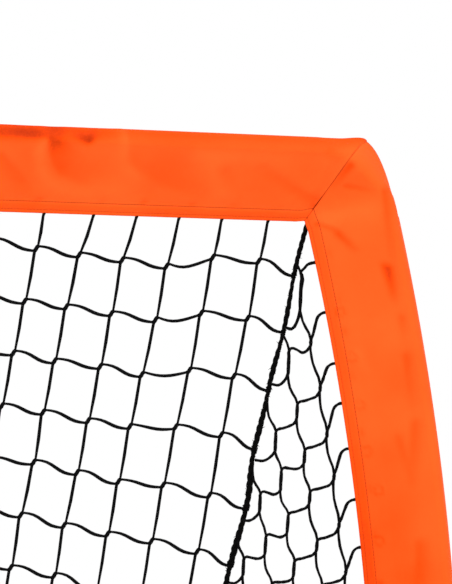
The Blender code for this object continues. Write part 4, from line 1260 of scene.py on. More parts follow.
# how far the first crossings of the upper rows are from their place
SLIPS = ((0.003, 0), (-0.0015, 0.003), (0.0035, 0.0065), (-0.001, 0), (-0.0005, 0.002))
DOUBLE_HALVES = (0.0025, 0.0056, 0.0085)  # half the length of a double, from the hem on
DOUBLE_LEAN = 0.28
BESIDE = 0.0003  # how far each of the two strands is from their shared middle
DOUBLE_STOUT = 0.84  # how thick a double is beside a crossing of the back net
ROPE_RUN = (ROPE_FOOT.y - HEM_CORNER.y) / (HEM_CORNER.z - ROPE_FOOT.z)


def post_hem_at(angle):
    centre, to_hem, _ = bow(angle)
    return centre + (BAND * narrowing((ELBOW_END - angle) * BOW_RADIUS) - FOLD) * to_hem


def post_hem(height):
    """The hem's edge on the right post, at a height."""
    angle = ELBOW_END
    for _ in range(4):
        place = post_hem_at(angle)
        angle += (height - place.z) / (BOW_RADIUS * math.cos(angle))
    return post_hem_at(angle)


HEM_END = post_hem_at(HINGE_ANGLE + POST_END / BOW_RADIUS)


def rope_distance(height):
    """How far behind the post's hem the rope is, at a height."""
    rear_y = HEM_CORNER.y + ROPE_RUN * (HEM_CORNER.z - height)
    return rear_y - post_hem(max(height, HEM_END.z)).y


def side_point(from_hem, height):
    """A place on the side net. Below the hem's end the net goes in to the base."""
    share = (HEM_CORNER.z - height) / (HEM_CORNER.z - ROPE_FOOT.z)
    rear = ROPE_HEAD.lerp(ROPE_FOOT, share)
    front = post_hem(max(height, HEM_END.z))
    front.z = height
    low = min(1.0, max(0.0, (HEM_END.z - height) / (HEM_END.z - SIDE_FOOT.z)))
    front.x += (SIDE_FOOT.x - front.x) * low
    rear.x += (SIDE_FOOT.x - rear.x) * low
    return front.lerp(rear, from_hem / max(1e-6, rear.y - front.y))


def slackness(height):
    """1 near the top of the side net, 0 at its foot."""
    return min(1.0, max(0.0, (height - 0.05) / 0.95)) ** 0.9


side_rows = list(SIDE_ROWS)
while side_rows[-1] - ROW_PITCH > LOWEST_ROW:
    side_rows.append(side_rows[-1] - ROW_PITCH)
print("a side net has", len(side_rows), "rows and", UPRIGHTS, "uprights")


# %% Side nets
def side_crossings(rng):
    """Each crossing by row and upright: its distance from the hem, height, and half its length."""
    found = {}
    for k, height in enumerate(side_rows):
        slack = slackness(height)
        for j in range(UPRIGHTS):
            distance = FIRST_UPRIGHT + j * UPRIGHT_PITCH + rng.uniform(-SCATTER, SCATTER)
            z = height - (FIRST_DROP + SLANT * distance) * slack + rng.uniform(-SCATTER, SCATTER)
            half = DOUBLE_HALVES[min(j, 2)] * (0.4 + 0.6 * slack)
            if j < 2 and k < len(SLIPS):
                z += SLIPS[k][j]
            if j == k:  # next to the rope a double is longer, most of all in the upper rows
                half = 0.0083 + 0.006 * 0.35**k
            under_rope = HEM_CORNER.z - distance / ROPE_RUN
            if z + 0.3 * half < under_rope - 0.003 and z > SIDE_FOOT.z + 0.012:
                found[k, j] = (distance, z, half)
    return found


def upright_line(j, crossings):
    distance = FIRST_UPRIGHT + j * UPRIGHT_PITCH
    top = HEM_CORNER.z - (distance - 0.004) / ROPE_RUN
    line = [(rope_distance(top) + 0.001, top)]
    for k in range(len(side_rows)):
        if (k, j) in crossings:
            d, z, half = crossings[k, j]
            if line[-1][1] - z > 0.03:
                line.append(((line[-1][0] + d) / 2 + 0.0022, (line[-1][1] + z) / 2 + 0.003))
            shift = DOUBLE_LEAN * half
            line += [(d - shift + BESIDE, z + half), (d + BESIDE, z), (d + shift + BESIDE, z - half)]
    return [*line, (distance, SIDE_FOOT.z)]


def level_line(k, crossings):
    """A level strand from the post's hem to the rope."""
    height = side_rows[k]
    slack = slackness(height)
    tilt = 2 * slack - 1  # 1: comes in at the top of a double and leaves at its bottom, -1: the other way
    mine = [crossings[k, j] for j in range(UPRIGHTS) if (k, j) in crossings]
    line = [(0.0, height), (0.003, height - 0.0003)]
    if mine:
        d, z, half = mine[0]
        fall = height - z - half
        # out of the hem the strand bends down: shares of the way across and of the fall
        line += [(a * d, height - b * fall) for a, b in ((0.42, 0.15), (0.62, 0.45), (0.85, 0.86))]
    for i, (d, z, half) in enumerate(mine):
        lean, rise = DOUBLE_LEAN * half * tilt, half * tilt
        line += [(d - lean - BESIDE, z + rise), (d - BESIDE, z), (d + lean - BESIDE, z - rise)]
        if i + 1 < len(mine):
            # from one double to the next the strand drops steeply, then runs on nearly level
            d2, z2, half2 = mine[i + 1]
            low, high = z - rise, z2 + half2 * tilt
            d2 -= DOUBLE_LEAN * half2 * tilt
            fall = max(0.0068 * slack, low - high - 0.0042)
            line += [
                (d + 0.0026, low - 0.34 * fall),
                (d + 0.0062, low - 0.78 * fall),
                (d + 0.0115, low - fall),
                (d2 - 0.0085, 0.35 * (low - fall) + 0.65 * (high + 0.0012)),
                (d2 - 0.0026, high + 0.0013),
            ]
    d, z = line[-1]
    fall = (0.008 + 0.010 * 0.2**k) * slack
    end = rope_distance(z - fall)
    if end > d + 0.006:
        line += [(d + a * (end - d), z - b * fall) for a, b in ((0.22, 0.6), (0.62, 1.1))]
        line.append((end - 0.001, z - fall))
    return line


def side_strands(seed):
    rng = np.random.default_rng(seed)
    strands = Strands()
    crossings = side_crossings(rng)
    facing = (1.0, 0.0, 0.0)
    lines = [(upright_line(j, crossings), 0.86) for j in range(UPRIGHTS)]
    lines += [(level_line(k, crossings), 1.0) for k in range(len(side_rows))]
    for line, thickness in lines:
        places = smooth_line([tuple(side_point(d, z)) for d, z in line], 3)
        strands.lay(places, TWINE * thickness * rng.uniform(0.9, 1.14, len(places)), facing)
    for d, z, half in crossings.values():
        run = side_point(d + DOUBLE_LEAN * half, z - half) - side_point(d - DOUBLE_LEAN * half, z + half)
        spindle(strands, side_point(d, z), run.normalized(), half, facing, DOUBLE_STOUT)
    foot = [tuple(side_point(d, SIDE_FOOT.z)) for d in np.linspace(0.0, SIDE_NET_LENGTH, 40)]
    strands.lay(foot, CORD_RADIUS, (0, 0, 1))
    edge = [tuple(side_point(0.0, z)) for z in np.linspace(HEM_END.z + 0.002, SIDE_FOOT.z, 12)]
    strands.lay(edge, 0.0018, facing)
    return strands


for name, side in SIDES.items():
    net = side_strands(71 + side).to_side(side).make(f"side_net_twine_{name}", black_twine)
    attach(net, "ground_frame")
    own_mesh(net)
    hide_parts(f"{name}_side_net")

# %% [markdown]
# ## Edge ropes
# Where the back net meets a side net, both are braided into a thick rope. It is laid from three strands,
# thin near the corner and thicker below, and it swells before each place where a row of the net comes in.
# There a few turns of twine bind it, and short ends stick out. The rope is held along its whole length by
# both nets, so it isn't a free cord. Its upper end goes into the sewn corner.

# %% Edge ropes
ROPE_THIN = 0.0020  # radius near the corner
ROPE_THICK = 0.0027
THICKER_FROM, THICKER_OVER = 0.06, 0.26  # how far down it begins to get thicker, and how far that takes
LUMP_REACH = 0.005
ROPE_SWAYS = (
    # distance down the rope, sway across the goal: all in millimetres
    (0, 1.6),
    (55, 0.0),
    (115, 1.6),
    (170, -0.9),
    (230, -1.7),
    (280, 2.4),
    (370, -0.8),
    (500, 1.2),
    (660, -1.0),
    (850, 1.0),
    (1050, -0.8),
    (1300, 0.0),
)
ROPE_LAY = 0.024  # length of one turn of its strands
ROPE_STRANDS = 3
STRAND_OUT, STRAND_SIZE = 0.46, 0.58  # shares of the rope's radius
ROPE_STEP = 0.0022
WRAP_PITCH = 0.0021
HAIRS, HAIR_RADII = 260, (0.0003, 0.00026, 0.0001)
rope_top = ROPE_HEAD + Vector((0, 0.0012, 0.001))


def rope_size(at, lumps):
    """The rope's radius at distances from its top."""
    growth = np.clip((at - THICKER_FROM) / THICKER_OVER, 0, 1)
    base = ROPE_THIN + (ROPE_THICK - ROPE_THIN) * ease(growth)
    after = np.searchsorted(lumps, at)
    edges = np.concatenate(([0.0], lumps, [at[-1] + 0.05]))
    share = (at - edges[after]) / (edges[after + 1] - edges[after])
    swell = 0.86 + 0.36 * np.sin(math.pi * np.clip(share, 0, 1) ** 1.6)
    swell = np.where(after == 0, 1.15, swell)
    near_lump = bell(at[:, None] - lumps[None, :], LUMP_REACH).sum(axis=1).clip(0, 1)
    return base * (swell + (0.04 + 0.1 * growth) * near_lump)


def rope_strands(seed):
    rng = np.random.default_rng(seed)
    top, foot = np.array(rope_top), np.array(ROPE_FOOT)
    length = float(np.linalg.norm(foot - top))
    run = (foot - top) / length
    first = np.cross(run, (1.0, 0.0, 0.0))
    first /= np.linalg.norm(first)
    second = np.cross(run, first)
    lumps = np.array([float(net_drop(r, FIRST_MESH[0], 0.0)) for r in range(MESH_ROWS)])

    def out_at(spin):
        return np.cos(spin)[:, None] * first + np.sin(spin)[:, None] * second

    at = np.arange(0, length, ROPE_STEP)
    radius = rope_size(at, lumps) * (1 + 0.05 * np.sin(at * 290 + seed) * np.sin(at * 131))

    def line_at(at):
        """The middle of the rope: it isn't quite straight."""
        places, sways = np.array(ROPE_SWAYS).T / 1000
        i = np.clip(np.searchsorted(places, at, side="right") - 1, 0, len(places) - 2)
        share = (at - places[i]) / (places[i + 1] - places[i])
        sway = sways[i] + (sways[i + 1] - sways[i]) * ease(share)
        return top + at[:, None] * run + sway[:, None] * np.array((1.0, 0, 0)) + 0.0004 * out_at(at * 61)

    strands = Strands(8)
    for i in range(ROPE_STRANDS):
        spin = 2 * math.pi * (at / ROPE_LAY + i / ROPE_STRANDS) + 0.5 * np.sin(at * 37)
        line = line_at(at) + STRAND_OUT * radius[:, None] * out_at(spin)
        strands.lay(line, STRAND_SIZE * radius, first)
    strands.sides = 6
    for place in lumps:
        turns = rng.uniform(2.2, 3.2)
        spin = rng.uniform(0, 6.28) + np.linspace(0, turns * 2 * math.pi, 26)
        at = place + rng.uniform(-0.001, 0.001) + np.linspace(-0.5, 0.5, 26) * WRAP_PITCH * turns
        wrap = line_at(at) + 1.03 * rope_size(at, lumps)[:, None] * out_at(spin)
        strands.lay(wrap, TWINE * (0.32 + 0.34 * min(1.0, place / 0.3)), out_at(spin))
    for _ in range(HAIRS):
        at = rng.uniform(0.03, length - 0.01)
        size = float(rope_size(np.array([at]), lumps)[0])
        out = out_at(np.array([rng.uniform(0, 2 * math.pi)]))[0]
        lean = rng.uniform(-1.2, 1.2)
        reach = rng.uniform(0.0006, 0.0019)
        start = line_at(np.array([at]))[0] + out * size * 0.85
        hair = [start + share * (out + lean * run) * (0.15 * size + reach) for share in (0, 0.5, 1)]
        strands.lay(hair, HAIR_RADII, np.cross(out, run) + 0.1 * run)
    return strands


for name, side in SIDES.items():
    rope = rope_strands(90 + side).to_side(side).make(f"edge_rope_{name}", rope_fibre)
    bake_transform(rope)
    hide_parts(f"{name}_edge_rope")

# %% [markdown]
# ## Finishes of the hard parts
# Each of these is plain to the eye and has its own fine grain. Powder coat has a faint orange peel. Moulded
# plastic has the matt grain of its mould. Rubber is dull, with dust in its pores. Zinc has small bright and
# dark patches. The poles are drawn fibreglass, whose fibres run along them.


# %% Hard finishes
def grained_finish(name, dark, light, roughness, grain, depth, patch=40.0, metallic=0.0, stretch=(1, 1, 1)):
    """A finish with a fine grain, and soft patches between a darker and a lighter colour."""
    made, shader, shade = new_finish(name, roughness, metallic)
    place = shade.node("Mapping", Vector=shade.own_place(), Scale=stretch)
    fine = shade.noise(grain, 2.0, place)
    patches = shade.noise(patch, 3.0, place).between(0.35, 0.65)
    paint(shader, shade, Base_Color=(patches * 0.7 + fine * 0.3).mix(dark, light))
    paint(shader, shade, Roughness=roughness - 0.06 + patches * 0.06 + fine * 0.06)
    paint(shader, shade, Normal=bump(shade, fine, depth))
    return made


COAT, COAT_LIGHT = (0.012, 0.012, 0.013), (0.024, 0.024, 0.026)
MOULDED, MOULDED_LIGHT = (0.022, 0.022, 0.023), (0.036, 0.036, 0.037)
RUBBER, DUSTY_RUBBER = (0.010, 0.010, 0.010), (0.035, 0.034, 0.032)
ZINC, BRIGHT_ZINC = (0.50, 0.50, 0.52), (0.70, 0.70, 0.70)
COVER, COVER_LIGHT = (0.50, 0.50, 0.49), (0.74, 0.74, 0.72)
PALE_GLASS, WARM_GLASS = (0.80, 0.79, 0.73), (0.66, 0.64, 0.56)
BUTTON, BUTTON_LIGHT = (0.80, 0.09, 0.010), (0.95, 0.14, 0.02)
FIBRE = 0.04  # the grain is drawn out by this along a pole

# the numbers are the roughness, the scale of the grain and its depth in metres
powder_coat = grained_finish("black_powder_coat", COAT, COAT_LIGHT, 0.42, 1100.0, 0.00012)
moulding = grained_finish("black_moulding", MOULDED, MOULDED_LIGHT, 0.55, 2600.0, 0.0001)
rubber = grained_finish("black_rubber", RUBBER, DUSTY_RUBBER, 0.88, 1500.0, 0.0002, 160.0)
zinc = grained_finish("zinc_steel", ZINC, BRIGHT_ZINC, 0.32, 900.0, 0.00004, 420.0, 1.0)
elastic = grained_finish("elastic_cord", COVER, COVER_LIGHT, 0.85, 700.0, 0.0003, 500.0)
button_plastic = grained_finish("orange_button", BUTTON, BUTTON_LIGHT, 0.33, 1400.0, 0.00005)
glass = (WARM_GLASS, PALE_GLASS, 0.45, 900.0, 0.0001, 260.0, 0.0)
level_glass = grained_finish("fibreglass_level", *glass, (FIBRE, 1, 1))
upright_glass = grained_finish("fibreglass_upright", *glass, (1, 1, FIBRE))
print("eight hard finishes are ready")

# %% [markdown]
# ## Webbing
# The straps are polyester webbing. Its ribs run across, a little over a millimetre apart, and its threads
# cross over and under them. The strap's own UV map is in metres, so the ribs keep their size where the
# strap turns. The ribs' crests are painted lighter, as sheen, and lint adds lighter specks at random.

# %% Webbing
RIB = 0.0013
WARP = 0.0022
WEBBING_BLACK, WEBBING_SHEEN_AND_LINT = (0.006, 0.006, 0.006), (0.024, 0.024, 0.025)

webbing, shader, shade = new_finish("black_webbing", 0.75)
across_strap, along_strap = shade.map_ways("strap")
warp = (across_strap * (2 * math.pi / WARP)).sine()
rib = (along_strap * (2 * math.pi / RIB)).sine()
woven = rib * 0.7 + warp * rib * 0.3
lint = shade.noise(700.0, 3.0, shade.own_place())
# painted sheen on the ribs' crests, and lighter lint at random
strap_colour = (woven * 0.4 + lint * 0.6).between(0.0, 0.9).mix(WEBBING_BLACK, WEBBING_SHEEN_AND_LINT)
paint(shader, shade, Base_Color=strap_colour)
paint(shader, shade, Normal=bump(shade, woven, 0.0003), Roughness=0.68 + lint * 0.14)
print("webbing has a rib each", RIB * 1000, "mm")

# %% [markdown]
# ## Hand tools for hard parts
# Round parts are spun from half of their outline, as on a lathe. Plates are a flat outline, extruded.
# Sockets, slots and holes are joined and cut with Boolean modifiers. A small bevel then breaks the sharp
# edges, since no moulded or pressed edge is truly sharp and the light catches on it. Where a cut leaves very
# short edges, the bevel has no room and stays almost nothing, as along much of the hinge housings.


# %% Spun and extruded pieces
def outline_piece(places, fill):
    """A circle primitive whose points are moved to the places of an outline."""
    deselect()
    bpy.ops.mesh.primitive_circle_add(vertices=len(places), radius=1, fill_type=fill)
    piece = bpy.context.object
    for vertex, place in zip(piece.data.vertices, places):
        vertex.co = place
    return piece


def spun(profile, sides=48):
    """An outline of (radius, height) pairs in millimetres, spun round the z axis."""
    piece = outline_piece([(radius / 1000, 0, height / 1000) for radius, height in profile], "NOTHING")
    open_mesh(piece)
    bpy.ops.mesh.spin(steps=sides, angle=2 * math.pi, center=(0, 0, 0), axis=(0, 0, 1))
    close_mesh()
    return piece


def rod(radius, low, high, sides=48):
    """A plain round rod in millimetres, to cut with."""
    return spun([(0, low), (radius, low), (radius, high), (0, high)], sides)


def arc(radius, start, end, steps=24, middle=(0.0, 0.0)):
    """Points on an arc round a middle, as pairs."""
    angles = np.linspace(start, end, steps + 1).tolist()
    return [(middle[0] + radius * math.cos(a), middle[1] + radius * math.sin(a)) for a in angles]


def extruded(outline, depth):
    """A flat outline of (x, y) pairs in metres, as a plate with its middle at z = 0."""
    piece = outline_piece([(x, y, -depth / 2) for x, y in outline], "NGON")
    open_mesh(piece)
    bpy.ops.mesh.extrude_region_move(TRANSFORM_OT_translate={"value": (0, 0, depth)})
    close_mesh()
    return piece


print("outlines are spun or extruded")


# %% Joining, cutting and placing
SHARP = math.radians(35)  # an edge that turns by more than this is broken by a bevel
FLAT_SHADED = math.radians(32)


def block(low, high):
    deselect()
    middle = [(a + b) / 2 for a, b in zip(low, high)]
    bpy.ops.mesh.primitive_cube_add(size=1, location=middle, scale=[b - a for a, b in zip(low, high)])
    return put(bpy.context.object)


def put(piece, place=None, along=None, turn=0.0):
    """Lay the piece's z axis along a direction, move it to its place, and keep both in its mesh."""
    if place is not None:
        piece.location = place
    if along is not None:
        spin = Matrix.Rotation(turn, 3, "Z")
        piece.rotation_euler = (Vector(along).to_track_quat("Z", "Y").to_matrix() @ spin).to_euler()
    pick(piece)
    bpy.ops.object.transform_apply(location=True, rotation=True, scale=True)
    return piece


def combine(piece, other, operation):
    apply_modifier(piece, "BOOLEAN", object=other, operation=operation, solver="EXACT")
    bpy.data.objects.remove(other)


def soften(piece, width):
    """Break the sharp edges where there is room, and shade the round parts smooth."""
    apply_modifier(piece, "BEVEL", width=width, segments=2, limit_method="ANGLE", angle_limit=SHARP)
    pick(piece)
    bpy.ops.object.shade_smooth_by_angle(angle=FLAT_SHADED)


def twin_of(piece):
    """A copy with its own mesh."""
    twin = piece.copy()
    twin.data = piece.data.copy()
    scene.collection.objects.link(twin)
    return twin


def mirrored(piece):
    twin = twin_of(piece)
    twin.scale.x = -1
    put(twin)
    open_mesh(twin)
    close_mesh()
    return twin


print("sharp edges turn by more than", round(math.degrees(SHARP)), "degrees")


def both_sides(right_piece, name, finish, node=None, body="ground_frame"):
    """Keep a piece as the right one, mirror it for the left, and let each stand for its solid."""
    for side, piece in (("left", mirrored(right_piece)), ("right", right_piece)):
        piece.name = f"{name}_{side}"
        piece.data.name = piece.name
        piece.data.materials.clear()
        piece.data.materials.append(finish)
        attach(piece, body.format(side=side))
        if node:
            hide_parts(node.format(side=side))


# %% [markdown]
# ## Base tubes
# The base is bent from nothing: four straight lengths of 25 mm steel tube, powder coated, push into moulded
# corners. A tube is the outline of its wall, spun, with the cut ends slightly rounded by the coat. The two
# rear lengths meet in the middle over an inner sleeve, where a spring button locks each of them.

# %% Base tubes
TUBE_RADIUS = 12.5  # millimetres
TUBE_WALL = 1.5
FRONT_TUBE_Y = -0.2567
SOCKET_STOP = 0.017
MIDDLE_GAP = 0.00015  # half the gap between the two rear tubes
SNAP_PLACE, SNAP_WAY = (0.032, REAR_Y, TUBE_Z), (0, 0.6, 0.8)


def tube(length):
    inner, edge, end = TUBE_RADIUS - TUBE_WALL, 0.3, length * 1000
    near = [(inner, 0), (TUBE_RADIUS - edge, 0), (TUBE_RADIUS, edge)]
    return spun([*near, (TUBE_RADIUS, end - edge), (TUBE_RADIUS - edge, end), (inner, end)])


side_tube = put(tube(REAR_Y - SOCKET_STOP - FRONT_TUBE_Y), (HUB_X, FRONT_TUBE_Y, TUBE_Z), (0, 1, 0))
soften(side_tube, 0.0001)
both_sides(side_tube, "base_side_tube", powder_coat, "{side}_ground_tube")
rear_tube = put(tube(HUB_X - SOCKET_STOP - MIDDLE_GAP), (MIDDLE_GAP, REAR_Y, TUBE_Z), (1, 0, 0))
combine(rear_tube, put(rod(3.4, 5, 20, 24), SNAP_PLACE, SNAP_WAY), "DIFFERENCE")
soften(rear_tube, 0.0001)
both_sides(rear_tube, "base_rear_tube", powder_coat, "rear_tube_{side}")
dome = [(0, 10.9), (3.1, 10.9), (3.1, 13.0), (2.7, 13.9), (1.7, 14.5), (0, 14.7)]
snap = put(spun(dome, 24), SNAP_PLACE, SNAP_WAY)
soften(snap, 0.0001)
both_sides(snap, "snap_button", zinc)
print("four base tubes and two snap buttons")

# %% [markdown]
# ## Rear corners and their feet
# A rear corner is one moulding: two sockets that meet in a ball, on a square base. Each socket ends in a
# raised lip, and two thin rings stiffen it. A cross-head screw through its outer side holds the tube. Under
# the base sits a ribbed rubber foot.

# %% Rear corners
SOCKET_RADIUS = 15.0
SOCKET_BORE = 12.8
LIP_RADIUS = 15.8
RING_RADIUS = 15.5
SOCKET_FLOOR, SOCKET_END = 16.7, 55
MOUTH_CUT = 0.7  # the slanting cut at a socket's mouth
RING_FOOT, RING_TOP = 1.4, 0.9  # half the width of a ring
BALL_RADIUS = 0.0151
BASE_WIDTH = 0.0298
MOULDING_FOOT = 0.0035  # height of the mouldings' undersides, on their rubber feet
CORNER_PLACE = (HUB_X, REAR_Y, TUBE_Z)


def socket(bottom, end):
    """A socket along z, in millimetres from 0 to its end, solid up to the bottom of its bore."""
    rings = []
    for ring in (end - 24, end - 12):
        rings += [(SOCKET_RADIUS, ring - RING_FOOT), (RING_RADIUS, ring - RING_TOP)]
        rings += [(RING_RADIUS, ring + RING_TOP), (SOCKET_RADIUS, ring + RING_FOOT)]
    cut = end - MOUTH_CUT
    lip = [(SOCKET_RADIUS, end - 5.5), (LIP_RADIUS, end - 4.5), (LIP_RADIUS, cut)]
    mouth = [(LIP_RADIUS - MOUTH_CUT, end), (SOCKET_BORE + MOUTH_CUT, end), (SOCKET_BORE, cut)]
    return spun([(0, 0), (SOCKET_RADIUS, 0), *rings, *lip, *mouth, (SOCKET_BORE, bottom), (0, bottom)])


def round_plate(width, length, corner, depth, steps=5):
    """A plate with round corners, its middle at the origin."""
    outline = []
    for turn, (sx, sy) in enumerate(((1, 1), (-1, 1), (-1, -1), (1, -1))):
        for i in range(steps + 1):
            angle = math.pi / 2 * (turn + i / steps)
            x = sx * (width / 2 - corner) + corner * math.cos(angle)
            outline.append((x, sy * (length / 2 - corner) + corner * math.sin(angle)))
    return extruded(outline, depth)


corner = put(socket(SOCKET_FLOOR, SOCKET_END), CORNER_PLACE, (0, -1, 0))
combine(corner, put(socket(SOCKET_FLOOR, SOCKET_END), CORNER_PLACE, (-1, 0, 0)), "UNION")
deselect()
bpy.ops.mesh.primitive_uv_sphere_add(segments=40, ring_count=20, radius=BALL_RADIUS, location=CORNER_PLACE)
combine(corner, put(bpy.context.object), "UNION")
base_height = TUBE_Z - MOULDING_FOOT
base = round_plate(BASE_WIDTH, BASE_WIDTH, 0.004, base_height)
combine(corner, put(base, (HUB_X, REAR_Y, MOULDING_FOOT + base_height / 2)), "UNION")
soften(corner, 0.0004)
both_sides(corner, "corner_moulding", moulding, "rear_corner_{side}")
print("rear corners have", len(corner.data.polygons), "faces each")


# %% Rubber feet
FOOT_HEIGHT = 0.0032
GROOVE, GROOVE_DEPTH = 0.0012, 0.0011
FRONT_FOOT_Y = -0.281


def ribbed_foot(width, length, grooves):
    foot = put(round_plate(width, length, 0.0035, FOOT_HEIGHT), (0, 0, FOOT_HEIGHT / 2))
    for i in range(grooves):
        y = length * ((i + 1) / (grooves + 1) - 0.5)
        groove = block((-width, y - GROOVE / 2, -0.001), (width, y + GROOVE / 2, GROOVE_DEPTH))
        combine(foot, groove, "DIFFERENCE")
    soften(foot, 0.0003)
    return foot


rear_foot = put(ribbed_foot(0.027, 0.027, 4), (HUB_X, REAR_Y, 0))
both_sides(rear_foot, "rubber_rear_foot", rubber, "rear_foot_{side}")
front_foot = put(ribbed_foot(0.022, 0.045, 7), (HUB_X, FRONT_FOOT_Y, 0))
both_sides(front_foot, "rubber_front_foot", rubber, "front_foot_{side}")
print("four ribbed feet")

# %% [markdown]
# ## Hinge housings
# The fixed half of a hinge is a moulding with two cheeks and a round top. The cheeks have a sunk panel, so
# that the wall keeps an even thickness, and a boss where the pin goes through. A socket at the back takes
# the side tube.

# %% Hinge housings
HOUSING_WIDTH = 0.025
CHEEK_RADIUS = 0.018
HOUSING_BACK = 0.030
CHEEK_END = math.radians(-20)  # where the round top goes over into the sloping back
SLOT_HALF = 0.0065  # half the room for the knuckle's tongue
BORE_START, FRONT_SOCKET_END = -0.257, -0.2047
PIN_HOLE = (4.8, -20, 20)


def on_pin(piece):
    """Turn a piece from the z axis on to the hinge's pin."""
    return put(piece, (HUB_X, MOUTH_Y, HINGE_Z), (1, 0, 0))


def panelled(plate):
    """Sink a panel into both flat faces of a plate."""
    open_mesh(plate)
    bpy.ops.mesh.select_all(action="DESELECT")
    bpy.ops.object.mode_set(mode="OBJECT")
    for face in plate.data.polygons:
        face.select = abs(face.normal.z) > 0.9
    bpy.ops.object.mode_set(mode="EDIT")
    bpy.ops.mesh.select_mode(type="FACE")
    bpy.ops.mesh.inset(thickness=0.0026, depth=-0.0009)
    close_mesh()
    return plate


foot_z = MOULDING_FOOT - HINGE_Z
profile = [(-CHEEK_RADIUS, foot_z), *arc(CHEEK_RADIUS, math.pi, CHEEK_END)]
profile += [(HOUSING_BACK, 0.034 - HINGE_Z), (HOUSING_BACK, foot_z)]
housing = on_pin(panelled(extruded(profile, HOUSING_WIDTH)))
boss = [(0, -12.5), (8.6, -12.5), (9.4, -11.9), (9.4, 11.9), (8.6, 12.5), (0, 12.5)]
combine(housing, on_pin(spun(boss)), "UNION")
socket_start = MOUTH_Y + HOUSING_BACK / 2
front_socket = socket((BORE_START - socket_start) * 1000, (FRONT_SOCKET_END - socket_start) * 1000)
combine(housing, put(front_socket, (HUB_X, socket_start, TUBE_Z), (0, 1, 0)), "UNION")
combine(housing, put(rod(SOCKET_BORE, 0, 40), (HUB_X, BORE_START, TUBE_Z), (0, 1, 0)), "DIFFERENCE")
slot_low = (HUB_X - SLOT_HALF, MOUTH_Y - 0.04, HINGE_Z - 0.017)
combine(housing, block(slot_low, (HUB_X + SLOT_HALF, MOUTH_Y + 0.06, HINGE_Z + 0.04)), "DIFFERENCE")
combine(housing, on_pin(rod(*PIN_HOLE)), "DIFFERENCE")
soften(housing, 0.0005)
both_sides(housing, "hinge_moulding", moulding, "hinge_housing_{side}")
print("hinge housings have", len(housing.data.polygons), "faces each")

# %% [markdown]
# ## Knuckles
# The moving half of a hinge is a tongue that turns between the cheeks. Above it a round collar carries the
# foot of the pole, and a spigot goes up inside the pole.

# %% Knuckles
TONGUE_RADIUS = 0.0165
TONGUE_NECK = (0.0086, 0.0245)  # half its width under the collar, and how far up that is
POST_WAY = (-math.sin(HINGE_ANGLE), 0, math.cos(HINGE_ANGLE))

neck, neck_up = TONGUE_NECK
profile = [(neck, neck_up), *arc(TONGUE_RADIUS, 0, -math.pi), (-neck, neck_up)]
knuckle = on_pin(extruded(profile, 0.012))
collar = [(0, 21), (7.6, 21), (9, 22.4), (9, 27.4), (8.4, 28), (4.7, 28), (4.7, 72), (4.2, 72.6), (0, 72.6)]
combine(knuckle, put(spun(collar, 40), (HUB_X, MOUTH_Y, HINGE_Z), POST_WAY), "UNION")
combine(knuckle, on_pin(rod(*PIN_HOLE)), "DIFFERENCE")
soften(knuckle, 0.0005)
both_sides(knuckle, "knuckle", moulding, "foot_knuckle_{side}", "mouth_frame")
print("knuckles have", len(knuckle.data.polygons), "faces each")

# %% [markdown]
# ## Pins, washers and lock buttons
# Each hinge turns on a hollow zinc-plated pin with a flat head inside, which has a hexagon socket. A
# push-on washer with slit teeth grips it outside. The orange button slides in the pin against a spring.

# %% Pins, washers and buttons
pin = [(0, -14.8), (5.6, -14.8), (6.6, -14.5), (7, -13.9), (7, -12.8), (4.5, -12.8), (4.5, 14.6), (4.1, 15)]
pin += [(3.2, 15), (3.2, -4), (0, -4)]
pivot = on_pin(spun(pin, 40))
combine(pivot, on_pin(rod(2.9, -16, -13.4, 6)), "DIFFERENCE")  # the hexagon socket
soften(pivot, 0.00015)
both_sides(pivot, "zinc_pin", zinc, "pivot_pin_{side}")

washer = spun([(4.8, 12.8), (7.2, 12.8), (7.5, 13.1), (7.5, 13.7), (7.2, 14), (5.8, 14), (4.8, 13.6)], 48)
for i in range(6):
    slit = block((0.0042, -0.0004, 0.012), (0.0062, 0.0004, 0.015))
    combine(washer, put(slit, (0, 0, 0), (0, 0, 1), i * math.pi / 3), "DIFFERENCE")
on_pin(washer)
soften(washer, 0.0001)
both_sides(washer, "push_on_washer", zinc, "pin_washer_{side}")

rounding = arc(2, 0, math.pi / 2, 8, (6, 22.3))
press = [(0, 7.8), (2.6, 7.8), (2.9, 8.1), (2.9, 19.3), (7.7, 19.3), (8, 19.6), *rounding, (5.2, 24.3)]
press += [(4.7, 23.9), (0, 23.8)]
button = on_pin(spun(press, 48))
soften(button, 0.0002)
both_sides(button, "press_button", button_plastic, "lock_button_{side}", "lock_button_{side}")
print("two pins, two washers, two buttons")

# %% [markdown]
# ## Lock springs
# Behind each button a wire spring sits in the bore of the pin. Its first and last turns lie close together,
# so that it stands square, and the turns between them are open. It would get shorter as its button is
# pressed; here it is laid at rest.

# %% Lock springs
SPRING_COIL = 0.0024  # radius of its turns
SPRING_WIRE = 0.0004
SPRING_START, SPRING_END = HUB_X - 0.0033, HUB_X + 0.0071
SPRING_TURNS = 7

turns = np.linspace(0, SPRING_TURNS, SPRING_TURNS * 24 + 1)
end_turn = 2.2 * SPRING_WIRE  # the pitch of the first and the last turn
ends = (SPRING_START, SPRING_START + end_turn, SPRING_END - end_turn, SPRING_END)
out = np.interp(turns, (0, 1, SPRING_TURNS - 1, SPRING_TURNS), ends)
spin = 2 * math.pi * turns
back_and_up = (MOUTH_Y + SPRING_COIL * np.cos(spin), HINGE_Z + SPRING_COIL * np.sin(spin))
for name, side in SIDES.items():
    coil = Strands(8)
    coil.lay(np.stack((side * out, *back_and_up), 1), SPRING_WIRE, (1.0, 0.0, 0.0))
    spring = coil.make(f"return_spring_{name}", zinc)
    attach(spring, "ground_frame")
    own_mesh(spring)
    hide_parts(f"lock_spring_{name}")

# %% [markdown]
# ## Screws
# A cross-head screw goes into the outer side of each socket. One is modelled, and the others are copies of
# it.

